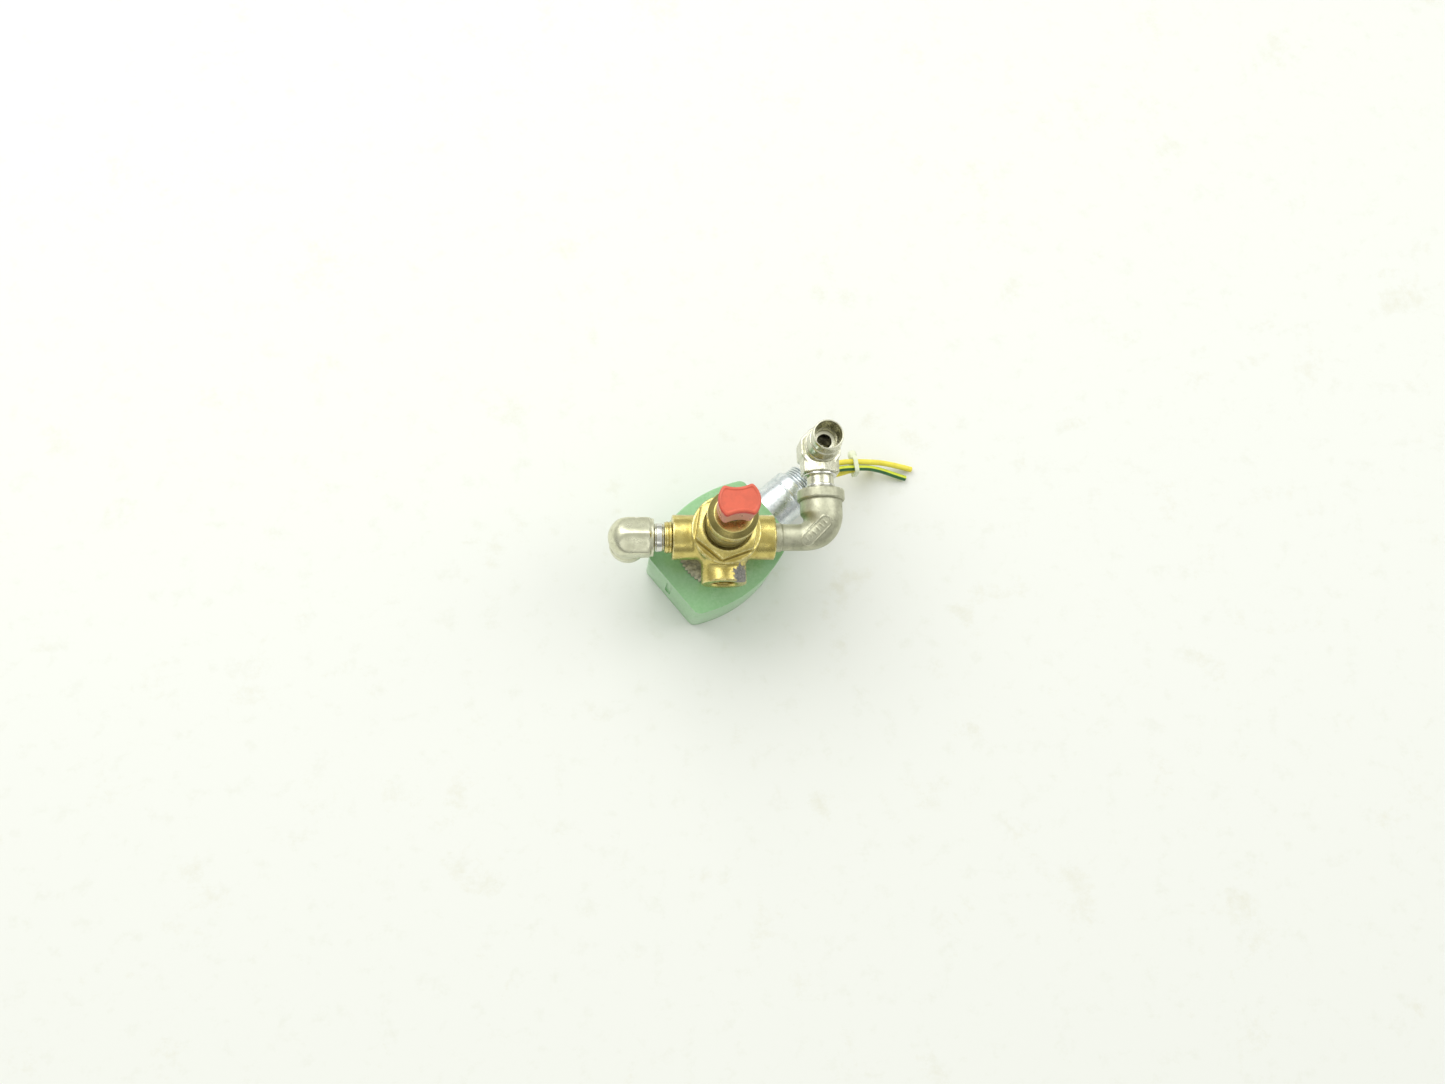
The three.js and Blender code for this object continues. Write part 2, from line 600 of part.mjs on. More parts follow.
// A toothed disc, whole on one side and worn back to a smaller radius on the rest.
function serratedWasher() {
  const points = [];
  for (let tooth = 0; tooth < SERRATED_TEETH; tooth += 1) {
    const angle = (2 * Math.PI * tooth) / SERRATED_TEETH;
    const whole = Math.abs(angle - SERRATED_WHOLE_BEARING) < SERRATED_WHOLE_HALF_ANGLE;
    const tip = whole ? SERRATED_RADIUS : SERRATED_WORN_RADIUS;
    const root = tip - SERRATED_TOOTH;
    const rootAngle = angle + Math.PI / SERRATED_TEETH;
    points.push(
      new THREE.Vector2(tip * Math.cos(angle), tip * Math.sin(angle)),
      new THREE.Vector2(root * Math.cos(rootAngle), root * Math.sin(rootAngle)));
  }
  const disc = extruded(new THREE.Shape(points), SERRATED_BOTTOM, SERRATED_BOTTOM + SERRATED_THICKNESS);
  const bore = rod(SLEEVE_CLEAR_RADIUS, SERRATED_BOTTOM - CUT_PAST, BASE_BOTTOM + CUT_PAST);
  return disc.subtract(bore);
}

function retainingClip() {
  const top = CLIP_RECESS_DEPTH - CLIP_INSET;
  const inner = CLIP_GROOVE_RADIUS + GAP;
  const disc = tube(CLIP_RADIUS, inner, top - CLIP_THICKNESS, top);
  const mouth = block([0, CLIP_RADIUS + CUT_PAST], [-inner, inner], [-CUT_PAST, HOUSING_FLOOR]);
  return disc.subtract(mouth);
}

// --- Tube and cores ---

function coreSleeve() {
  const collarBottom = SLEEVE_TOP - SLEEVE_COLLAR_THICKNESS;
  return ring(
    [
      [SLEEVE_RADIUS, SLEEVE_BOTTOM],
      [SLEEVE_RADIUS, collarBottom],
      [SLEEVE_COLLAR_RADIUS, collarBottom],
      [SLEEVE_COLLAR_RADIUS, SLEEVE_TOP],
    ],
    SLEEVE_BORE_RADIUS);
}

function fixedCore() {
  const grooveTop = CLIP_RECESS_DEPTH;
  const grooveBottom = CLIP_RECESS_DEPTH - CLIP_INSET - CLIP_THICKNESS - GAP;
  return bar([
    [FIXED_CORE_NECK_RADIUS, 0],
    [FIXED_CORE_NECK_RADIUS, grooveBottom],
    [CLIP_GROOVE_RADIUS, grooveBottom],
    [CLIP_GROOVE_RADIUS, grooveTop],
    [FIXED_CORE_NECK_RADIUS, grooveTop],
    [FIXED_CORE_NECK_RADIUS, SLEEVE_BOTTOM],
    [CORE_RADIUS, SLEEVE_BOTTOM],
    [CORE_RADIUS, FIXED_CORE_TOP],
  ], SMALL_STEPS);
}

function movingCore() {
  const pocket = CORE_SPRING_RADIUS + CORE_SPRING_WIRE + GAP;
  const core = rod(CORE_RADIUS, MOVING_CORE_BOTTOM, MOVING_CORE_TOP, SMALL_STEPS);
  const hole = rod(
    pocket, MOVING_CORE_BOTTOM - CUT_PAST, MOVING_CORE_BOTTOM + CORE_SPRING_DEPTH, SMALL_STEPS);
  return core.subtract(hole);
}

function coreSpring() {
  return spring(
    CORE_SPRING_RADIUS, CORE_SPRING_WIRE, FIXED_CORE_TOP + GAP,
    MOVING_CORE_BOTTOM + CORE_SPRING_DEPTH - GAP, CORE_SPRING_TURNS);
}

function solenoidBase() {
  const flange = prism(HEXAGON, BASE_FLANGE_RADIUS, BASE_BOTTOM, BASE_FLANGE_TOP);
  const spigot = rod(SPIGOT_RADIUS, BASE_BOTTOM, BASE_TOP);
  const bore = rod(SLEEVE_CLEAR_RADIUS, BASE_BOTTOM - CUT_PAST, BASE_TOP + CUT_PAST);
  const collarSeat = rod(
    SLEEVE_COLLAR_RADIUS + GAP, SLEEVE_TOP - SLEEVE_COLLAR_THICKNESS - GAP, BASE_TOP + CUT_PAST);
  return cut(joined([flange, spigot]), [bore, collarSeat]);
}

function baseGasket() {
  return tube(
    BARREL_RADIUS - BARREL_ROOT - GAP, INSERT_BORE_RADIUS + GAP, BASE_FLANGE_TOP + GAP,
    BASE_FLANGE_TOP + GAP + GASKET_THICKNESS);
}

// --- Valve body, seats and stem ---

function boss(reach) {
  return bar([
    [BOSS_RADIUS, 0],
    [BOSS_RADIUS, reach - BOSS_CHAMFER],
    [BOSS_RADIUS - BOSS_CHAMFER, reach],
  ]);
}

function valveBody() {
  const barrel = bar([
    [BARREL_RADIUS - BARREL_ROOT, BODY_BOTTOM],
    [BARREL_RADIUS, BODY_BOTTOM + BARREL_ROOT],
    [BARREL_RADIUS, BODY_TOP],
  ]);
  const solid = joined([
    barrel,
    alongX(boss(SIDE_REACH), PORT_HEIGHT),
    alongMinusX(boss(SIDE_REACH), PORT_HEIGHT),
    alongMinusY(boss(FRONT_REACH), PORT_HEIGHT),
  ]);
  const lowerChamber = (BASE_TOP + LOWER_SEAT_BOTTOM) / 2;
  const upperChamber = (UPPER_SEAT_TOP + BONNET_BOTTOM) / 2;
  const reachIn = SIDE_PORT_STOP + CUT_PAST;
  const sidePort = rod(PORT_RADIUS, SIDE_PORT_STOP, SIDE_REACH + CUT_PAST);
  const frontPort = rod(PORT_RADIUS, SIDE_PORT_STOP, FRONT_REACH + CUT_PAST);
  const frontPassage = rod(CHAMBER_HEIGHT / 2, 0, reachIn);
  return cut(solid, [
    rod(INSERT_BORE_RADIUS, BODY_BOTTOM - CUT_PAST, CHAMBER_BOTTOM),
    rod(CHAMBER_RADIUS, CHAMBER_BOTTOM - CUT_PAST, CHAMBER_TOP + CUT_PAST),
    rod(INSERT_BORE_RADIUS, CHAMBER_TOP, BODY_TOP + CUT_PAST),
    alongX(sidePort, PORT_HEIGHT),
    alongMinusX(sidePort, PORT_HEIGHT),
    alongMinusY(frontPort, PORT_HEIGHT),
    alongMinusY(frontPassage, CHAMBER_BOTTOM + CHAMBER_HEIGHT / 2),
    drilling(
      [-reachIn, 0, PORT_HEIGHT - PORT_RADIUS / 2], [-CHAMBER_RADIUS, 0, lowerChamber], DRILLING_RADIUS),
    drilling(
      [reachIn, 0, PORT_HEIGHT + PORT_RADIUS / 2], [CHAMBER_RADIUS, 0, upperChamber], DRILLING_RADIUS),
  ]);
}

function lowerSeat() {
  return ring(
    [
      [SPIGOT_RADIUS, LOWER_SEAT_BOTTOM],
      [SPIGOT_RADIUS, LOWER_SEAT_TOP - SEAT_LIP],
      [ORIFICE_RADIUS + SEAT_LIP_WIDTH, LOWER_SEAT_TOP - SEAT_LIP],
      [ORIFICE_RADIUS + SEAT_LIP_WIDTH, LOWER_SEAT_TOP],
    ],
    ORIFICE_RADIUS, SMALL_STEPS);
}

function upperSeat() {
  return ring(
    [
      [ORIFICE_RADIUS + SEAT_LIP_WIDTH, UPPER_SEAT_BOTTOM],
      [ORIFICE_RADIUS + SEAT_LIP_WIDTH, UPPER_SEAT_BOTTOM + SEAT_LIP],
      [SPIGOT_RADIUS, UPPER_SEAT_BOTTOM + SEAT_LIP],
      [SPIGOT_RADIUS, UPPER_SEAT_TOP],
    ],
    ORIFICE_RADIUS, SMALL_STEPS);
}

function valveStem() {
  const holderBottom = DISC_BOTTOM + DISC_THICKNESS + GAP;
  const holderTop = DISC_TOP - DISC_THICKNESS - GAP;
  return bar([
    [STEM_RADIUS, STEM_BOTTOM],
    [STEM_RADIUS, holderBottom],
    [HOLDER_RADIUS, holderBottom],
    [HOLDER_RADIUS, holderTop],
    [STEM_RADIUS, holderTop],
    [STEM_RADIUS, SPRING_SEAT_BOTTOM],
    [SPRING_SEAT_RADIUS, SPRING_SEAT_BOTTOM],
    [SPRING_SEAT_RADIUS, SPRING_SEAT_TOP],
    [STEM_RADIUS, SPRING_SEAT_TOP],
    [STEM_RADIUS, STEM_TOP],
  ], SMALL_STEPS);
}

function sealDisc(bottom) {
  return tube(DISC_RADIUS, STEM_RADIUS + GAP, bottom, bottom + DISC_THICKNESS, SMALL_STEPS);
}

function returnSpring() {
  return spring(
    RETURN_SPRING_RADIUS, RETURN_SPRING_WIRE, RETURN_SPRING_BOTTOM, RETURN_SPRING_TOP,
    RETURN_SPRING_TURNS);
}

// --- Bonnet, turret, pin and knob ---

function bonnetGasket() {
  return tube(
    BARREL_RADIUS - GAP, INSERT_BORE_RADIUS + GAP, BODY_TOP + GAP, BODY_TOP + GAP + GASKET_THICKNESS);
}

function hexBonnet() {
  const flange = bar([
    [SPIGOT_RADIUS, BONNET_BOTTOM],
    [SPIGOT_RADIUS, BONNET_FLANGE_BOTTOM],
    [BONNET_FLANGE_RADIUS, BONNET_FLANGE_BOTTOM],
    [BONNET_FLANGE_RADIUS, BONNET_HEX_BOTTOM],
  ]);
  const hexagon = prism(
    HEXAGON, BONNET_CORNER_RADIUS, BONNET_HEX_BOTTOM - CUT_PAST, BONNET_TOP, BONNET_BEARING);
  const chamferCone = bar([
    [2 * BONNET_CORNER_RADIUS, BONNET_BOTTOM],
    [2 * BONNET_CORNER_RADIUS, BONNET_HEX_BOTTOM],
    [BONNET_CORNER_RADIUS, BONNET_TOP - BONNET_CHAMFER_DROP],
    [BONNET_CORNER_RADIUS - 2 * BONNET_CHAMFER_DROP, BONNET_TOP],
  ]);
  const bore = rod(BONNET_BORE_RADIUS, BONNET_BOTTOM - CUT_PAST, BONNET_TOP + CUT_PAST);
  const recess = rod(BONNET_RECESS_RADIUS, BONNET_TOP - BONNET_RECESS_DEPTH, BONNET_TOP + CUT_PAST);
  return cut(joined([flange, hexagon.intersect(chamferCone)]), [bore, recess]);
}

function turret() {
  const headBottom = TURRET_TOP - TURRET_BEVEL - TURRET_HEAD;
  const grooveBottom = headBottom - TURRET_GROOVE_WIDTH;
  const shank = BONNET_BORE_RADIUS - GAP;
  const guide = PIN_RADIUS + GAP;
  const mouthChamfer = TURRET_MOUTH_RADIUS + GAP;
  return turned([
    [TURRET_SPRING_BORE, TURRET_BOTTOM],
    [shank, TURRET_BOTTOM],
    [shank, TURRET_SEAT],
    [TURRET_RADIUS, TURRET_SEAT],
    [TURRET_RADIUS, grooveBottom],
    [TURRET_GROOVE_RADIUS, grooveBottom],
    [TURRET_GROOVE_RADIUS, headBottom],
    [TURRET_HEAD_RADIUS, headBottom],
    [TURRET_HEAD_RADIUS, TURRET_TOP - TURRET_BEVEL],
    [TURRET_FACE_RADIUS, TURRET_TOP],
    [mouthChamfer, TURRET_TOP],
    [TURRET_MOUTH_RADIUS, TURRET_TOP - GAP],
    [TURRET_MOUTH_RADIUS, TURRET_MOUTH_FLOOR],
    [guide, TURRET_MOUTH_FLOOR],
    [guide, TURRET_POCKET_TOP],
    [TURRET_SPRING_BORE, TURRET_POCKET_TOP],
    [TURRET_SPRING_BORE, TURRET_BOTTOM],
  ]);
}

function turretRing() {
  const centre = TURRET_TOP - TURRET_BEVEL - TURRET_HEAD - TURRET_GROOVE_WIDTH / 2;
  const torus = new THREE.TorusGeometry(
    TURRET_GROOVE_RADIUS + GAP + ORING_SECTION, ORING_SECTION, RING_SIDES, ROUND_STEPS);
  return solidOf(torus.translate(0, 0, centre));
}

function pushPin() {
  const bottom = STEM_TOP + PIN_TRAVEL + GAP;
  const collarBottom = TURRET_MOUTH_FLOOR + PIN_TRAVEL + GAP;
  return bar([
    [PIN_RADIUS, bottom],
    [PIN_RADIUS, collarBottom],
    [PIN_COLLAR_RADIUS, collarBottom],
    [PIN_COLLAR_RADIUS, TURRET_TOP + PIN_COLLAR_TOP],
    [PIN_NECK_RADIUS, TURRET_TOP + PIN_COLLAR_TOP],
    [PIN_NECK_RADIUS, KNOB_BOTTOM],
    [PIN_RADIUS, KNOB_BOTTOM],
    [PIN_RADIUS, KNOB_BOTTOM + PIN_HEAD_LENGTH],
  ], SMALL_STEPS);
}

// A disc trimmed by two long shallow finger grips, drawn in by an inset all round.
function knobOutline(inset = 0) {
  const radius = KNOB_PLATE_RADIUS - inset;
  const halfWidth = KNOB_PLATE_HALF_WIDTH - inset;
  const corner = Math.asin(halfWidth / radius);
  const waist = halfWidth - 2 * KNOB_WAIST;
  const endX = radius * Math.cos(corner);
  const shape = new THREE.Shape();
  shape.moveTo(endX, -halfWidth);
  shape.absarc(0, 0, radius, -corner, corner, false);
  shape.quadraticCurveTo(0, waist, -endX, halfWidth);
  shape.absarc(0, 0, radius, Math.PI - corner, Math.PI + corner, false);
  shape.quadraticCurveTo(0, -waist, endX, -halfWidth);
  return shape;
}

function wingedKnob() {
  const roofBottom = PLATE_BOTTOM - KNOB_ROOF;
  const cone = bar([
    [KNOB_SKIRT_RADIUS, KNOB_BOTTOM + GAP],
    [KNOB_SKIRT_TOP_RADIUS, PLATE_BOTTOM + GAP],
  ]);
  const skirt = cone.intersect(extruded(knobOutline(GAP), KNOB_BOTTOM, KNOB_TOP));
  const plate = extruded(knobOutline(), PLATE_BOTTOM, KNOB_TOP);
  const underside = KNOB_BOTTOM - CUT_PAST;
  const ring = tube(KNOB_SKIRT_RADIUS - KNOB_SKIRT_WALL, KNOB_BOSS_RADIUS, underside, roofBottom);
  const hollow = ring.intersect(extruded(knobOutline(KNOB_SKIRT_WALL), underside, roofBottom));
  const socket = rod(PIN_RADIUS + GAP, underside, KNOB_BOTTOM + PIN_HEAD_LENGTH + GAP, SMALL_STEPS);
  const knob = cut(joined([skirt, plate]), [hollow, socket]);
  return knob.rotate([0, 0, THREE.MathUtils.radToDeg(KNOB_TURN)]);
}

// --- Left fittings ---

function leftAdaptor() {
  const body = ring(
    [
      [THREAD_RADIUS, SIDE_REACH - SHANK_DEPTH],
      [THREAD_RADIUS, LEFT_COLLAR_START],
      [ADAPTOR_RADIUS, LEFT_COLLAR_START],
      [ADAPTOR_RADIUS, LEFT_COLLAR_START + ADAPTOR_COLLAR],
    ],
    ADAPTOR_BORE, SMALL_STEPS);
  return alongMinusX(body, PORT_HEIGHT);
}

function leftNipple() {
  const spigot = ADAPTOR_BORE - GAP;
  const shoulderEnd = NIPPLE_START + NIPPLE_SHOULDER;
  const body = ring(
    [
      [spigot, SIDE_REACH - NIPPLE_SPIGOT],
      [spigot, NIPPLE_START],
      [NIPPLE_RADIUS, NIPPLE_START],
      [NIPPLE_RADIUS, shoulderEnd],
      [spigot, shoulderEnd],
      [spigot, shoulderEnd + NIPPLE_SPIGOT],
    ],
    NIPPLE_BORE);
  return alongMinusX(body, PORT_HEIGHT);
}

function leftElbow() {
  const hexStart = LEFT_ELBOW_START + LEFT_ELBOW_COLLAR;
  const collar = rod(LEFT_ELBOW_COLLAR_RADIUS, LEFT_ELBOW_START, hexStart + CUT_PAST);
  const forged = prism(HEXAGON, LEFT_ELBOW_CORNER_RADIUS, hexStart, LEFT_LEG_AT);
  const dome = solidOf(
    new THREE.SphereGeometry(LEFT_ELBOW_CORNER_RADIUS - BOSS_CHAMFER, SMALL_STEPS, SMALL_STEPS / 2)
      .rotateX(Math.PI / 2)
      .translate(0, 0, LEFT_LEG_AT));
  const across = alongMinusX(joined([collar, forged, dome]), PORT_HEIGHT);
  const leg = rod(LEFT_LEG_RADIUS, LEFT_MOUTH_HEIGHT, PORT_HEIGHT);
  const bead = rod(LEFT_BEAD_RADIUS, LEFT_MOUTH_HEIGHT, LEFT_MOUTH_HEIGHT + LEFT_BEAD_HEIGHT);
  const upright = joined([leg, bead]).translate([-LEFT_LEG_AT, 0, 0]);
  const passage = rod(LEFT_PASSAGE_RADIUS, LEFT_MOUTH_HEIGHT, PORT_HEIGHT, SMALL_STEPS);
  const mouthTop = LEFT_MOUTH_HEIGHT + LEFT_MOUTH_DEPTH;
  const mouth = rod(LEFT_MOUTH_RADIUS, LEFT_MOUTH_HEIGHT - CUT_PAST, mouthTop, SMALL_STEPS);
  const socketEnd = LEFT_ELBOW_START + NIPPLE_SPIGOT + GAP;
  const inward = joined([
    rod(ADAPTOR_BORE, LEFT_ELBOW_START - CUT_PAST, socketEnd, SMALL_STEPS),
    rod(LEFT_PASSAGE_RADIUS, LEFT_ELBOW_START, LEFT_LEG_AT, SMALL_STEPS),
  ]);
  return cut(joined([across, upright]), [
    joined([passage, mouth]).translate([-LEFT_LEG_AT, 0, 0]),
    alongMinusX(inward, PORT_HEIGHT),
  ]);
}

// --- Right fittings ---

function streetElbow() {
  const male = alongX(
    bar([
      [THREAD_RADIUS, SIDE_REACH - SHANK_DEPTH],
      [THREAD_RADIUS, STREET_START],
      [STREET_COLLAR_RADIUS, STREET_START],
      [STREET_COLLAR_RADIUS, STREET_START + STREET_COLLAR],
      [STREET_LEG_RADIUS, STREET_START + STREET_COLLAR],
      [STREET_LEG_RADIUS, STREET_REACH - STREET_BEND + GAP],
    ]),
    PORT_HEIGHT);
  const bendStart = new THREE.Vector3(STREET_REACH - STREET_BEND, 0, PORT_HEIGHT);
  const bendEnd = new THREE.Vector3(STREET_REACH, STREET_BEND, PORT_HEIGHT);
  const corner = new THREE.Vector3(STREET_REACH, 0, PORT_HEIGHT);
  const bend = tapered(
    new THREE.QuadraticBezierCurve3(bendStart, corner, bendEnd),
    STREET_LEG_RADIUS, STREET_FEMALE_RADIUS, ARC_STEPS, ROUND_STEPS);
  const female = alongY(
    bar([
      [STREET_FEMALE_RADIUS, STREET_BEND - GAP],
      [STREET_FEMALE_RADIUS, STREET_RISE - STREET_BAND_WIDTH],
      [STREET_BAND_RADIUS, STREET_RISE - STREET_BAND_WIDTH],
      [STREET_BAND_RADIUS, STREET_RISE],
    ]),
    PORT_HEIGHT).translate([STREET_REACH, 0, 0]);
  const inletStart = SIDE_REACH - SHANK_DEPTH - CUT_PAST;
  const inlet = alongX(rod(STREET_PASSAGE_RADIUS, inletStart, STREET_REACH, SMALL_STEPS), PORT_HEIGHT);
  const outlet = alongY(
    joined([
      rod(STREET_PASSAGE_RADIUS, -STREET_PASSAGE_RADIUS / 2, STREET_RISE, SMALL_STEPS),
      rod(STREET_SOCKET_RADIUS, STREET_RISE - STREET_SOCKET_DEPTH, STREET_RISE + CUT_PAST),
    ]),
    PORT_HEIGHT).translate([STREET_REACH, 0, 0]);
  return cut(joined([male, bend, female]), [inlet, outlet]);
}

function tubeElbow() {
  const shankEnd = STREET_RISE - TUBE_SHANK_DEPTH;
  const nipple = alongY(
    bar([
      [TUBE_SHANK_RADIUS, shankEnd],
      [TUBE_SHANK_RADIUS, TUBE_START + TUBE_THREAD_LEFT],
      [TUBE_NIPPLE_RADIUS, TUBE_START + TUBE_THREAD_LEFT],
      [TUBE_NIPPLE_RADIUS, TUBE_BODY_START - TUBE_COLLAR],
      [TUBE_COLLAR_RADIUS, TUBE_BODY_START - TUBE_COLLAR],
      [TUBE_COLLAR_RADIUS, TUBE_BODY_START + CUT_PAST],
    ]),
    PORT_HEIGHT);
  const forging = alongY(
    prism(HEXAGON, TUBE_FORGING_CORNER_RADIUS, TUBE_BODY_START, TUBE_AXIS_AT, CORNER_UP), PORT_HEIGHT);
  const column = joined([
    prism(OCTAGON, TUBE_BODY_CORNER_RADIUS, PORT_HEIGHT - TUBE_BODY_BELOW, TUBE_BODY_TOP, FLAT_UP),
    bar([
      [TUBE_SHOULDER_RADIUS, TUBE_BODY_TOP - CUT_PAST],
      [TUBE_SHOULDER_RADIUS, TUBE_BARREL_BOTTOM],
      [TUBE_BARREL_RADIUS, TUBE_BARREL_BOTTOM],
      [TUBE_BARREL_RADIUS, TUBE_SOCKET_BOTTOM],
      [TUBE_SOCKET_RADIUS, TUBE_SOCKET_BOTTOM],
      [TUBE_SOCKET_RADIUS, TUBE_MOUTH_HEIGHT],
    ]),
  ]).translate([0, TUBE_AXIS_AT, 0]);
  const lip = turned([
    [0, TUBE_MOUTH_HEIGHT - TUBE_SEAT_DEPTH],
    [TUBE_SEAT_RADIUS, TUBE_MOUTH_HEIGHT - TUBE_SEAT_DEPTH],
    [TUBE_SEAT_RADIUS, TUBE_MOUTH_HEIGHT - TUBE_MOUTH_DEPTH],
    [TUBE_MOUTH_RADIUS, TUBE_MOUTH_HEIGHT],
    [TUBE_MOUTH_RADIUS, TUBE_MOUTH_HEIGHT + CUT_PAST],
    [0, TUBE_MOUTH_HEIGHT + CUT_PAST],
  ]).translate([0, TUBE_AXIS_AT, 0]);
  const upright = rod(TUBE_PASSAGE_RADIUS, PORT_HEIGHT, TUBE_MOUTH_HEIGHT, SMALL_STEPS);
  const down = upright.translate([0, TUBE_AXIS_AT, 0]);
  const across = alongY(
    rod(TUBE_PASSAGE_RADIUS, shankEnd - CUT_PAST, TUBE_AXIS_AT, SMALL_STEPS), PORT_HEIGHT);
  return cut(joined([nipple, forging, column]), [lip, down, across]).translate([STREET_REACH, 0, 0]);
}

// --- Lead wires: routes chosen by hand, from inside the hub to the cut ends ---

const WIRE_ROUTES = {
  lead_yellow: [
    [26.4, 23.1, 18.9], [31.0, 26.9, 18.9], [35.6, 30.7, 18.9], [40.3, 34.6, 18.8], [44.3, 37.8, 18.7],
    [49.4, 41.2, 18.5], [55.0, 43.8, 17.8], [61.0, 45.4, 16.8], [66.0, 46.4, 15.7], [70.6, 46.9, 14.3],
    [75.5, 47.4, 12.5], [80.0, 47.8, 10.6], [84.6, 48.1, 8.5], [90.0, 48.0, 6.1], [95.8, 47.6, 3.5],
    [99.0, 47.2, 2.3], [102.0, 46.7, 1.5],
  ],
  lead_green: [
    [28.4, 20.6, 19.2], [33.0, 24.4, 19.2], [37.6, 28.2, 19.2], [42.3, 32.1, 19.1], [46.1, 35.3, 18.9],
    [51.0, 38.6, 18.4], [56.0, 40.9, 17.6], [61.0, 42.3, 16.6], [66.0, 43.3, 15.5], [70.5, 43.8, 14.2],
    [75.0, 44.4, 12.2], [79.0, 44.8, 10.2], [83.5, 44.7, 7.7], [87.7, 44.3, 5.4], [93.0, 43.3, 3.1],
    [98.7, 42.0, 1.5],
  ],
  lead_yellow_short: [
    [27.4, 21.5, 15.2], [32.1, 25.3, 15.2], [36.7, 29.1, 15.1], [41.4, 33.0, 14.9], [45.2, 35.7, 14.6],
    [49.5, 37.4, 14.4], [54.0, 38.9, 14.1], [58.5, 40.0, 13.6], [62.5, 41.2, 12.8], [66.0, 42.4, 11.9],
    [70.0, 43.9, 10.7], [73.5, 45.2, 8.7], [76.3, 46.1, 6.2], [78.8, 46.7, 3.7], [81.6, 47.1, 1.5],
  ],
};

function leadWire(route) {
  const extrudePath = new THREE.CatmullRomCurve3(route.map((point) => new THREE.Vector3(...point)));
  const options = { steps: WIRE_STEPS, extrudePath, bevelEnabled: false };
  return solidOf(new THREE.ExtrudeGeometry(roundSection(WIRE_RADIUS, WIRE_SIDES), options));
}

function cableTie() {
  const outer = block(
    [-TIE_STRAP_WIDTH / 2, TIE_STRAP_WIDTH / 2],
    [-TIE_HALF_SPAN - TIE_STRAP_THICKNESS, TIE_HALF_SPAN + TIE_STRAP_THICKNESS],
    [-TIE_HALF_HEIGHT - TIE_STRAP_THICKNESS, TIE_HALF_HEIGHT + TIE_STRAP_THICKNESS]);
  const head = block(
    [-TIE_HEAD / 2, TIE_HEAD / 2],
    [TIE_HALF_SPAN, TIE_HALF_SPAN + TIE_HEAD],
    [-TIE_HEAD / 2, TIE_HEAD / 2]);
  const opening = block(
    [-TIE_HEAD, TIE_HEAD], [-TIE_HALF_SPAN, TIE_HALF_SPAN], [-TIE_HALF_HEIGHT, TIE_HALF_HEIGHT]);
  return joined([outer, head])
    .subtract(opening)
    .rotate([0, 0, THREE.MathUtils.radToDeg(TIE_HEADING)])
    .translate(TIE_AT.toArray());
}

// --- Materials and assembly ---

function material(color, roughness, metalness, more = {}) {
  return new THREE.MeshStandardMaterial({ color, roughness, metalness, ...more });
}

const MATERIALS = {
  green: material(0x7baa80, 0.55, 0),
  steel: material(0x9a9c9a, 0.4, 1),
  copper: material(0xa5552c, 0.4, 1),
  nylon: material(0xe6e6dc, 0.6, 0),
  zinc: material(0xd8dcd6, 0.35, 1),
  rubber: material(0x2b2b2b, 0.8, 0),
  washer: material(0xa79c8c, 0.6, 0.7),
  brass: material(0xd9c173, 0.35, 1),
  chrome: material(0xdfe0d6, 0.18, 1),
  stainless: material(0xc9c8b0, 0.35, 1),
  casting: material(0xbdbca2, 0.5, 1),
  red: material(0xe06a45, 0.35, 0, { transparent: true, opacity: 0.9 }),
  ring: material(0x6f7a5c, 0.6, 0),
  yellow: material(0xe9de5c, 0.5, 0),
  striped: material(0x6fa04a, 0.5, 0),
};

function mesh(name, body, finish) {
  const made = new THREE.Mesh(geometryOf(body), MATERIALS[finish]);
  made.name = name;
  return made;
}

const valve = new THREE.Group();

const solenoid = new THREE.Group();
solenoid.rotation.z = HUB_BEARING;
solenoid.add(
  mesh("coil_housing", coilHousing(), "green"),
  mesh("flux_yoke", fluxYoke(), "steel"),
  mesh("coil_bobbin", coilBobbin(), "nylon"),
  mesh("coil_winding", coilWinding(), "copper"),
  mesh("conduit_hub", conduitHub(), "zinc"),
  mesh("hub_gasket", hubGasket(), "rubber"),
  mesh("hub_locknut", hubLocknut(), "steel"),
  mesh("retaining_clip", retainingClip(), "steel"));
valve.add(solenoid);

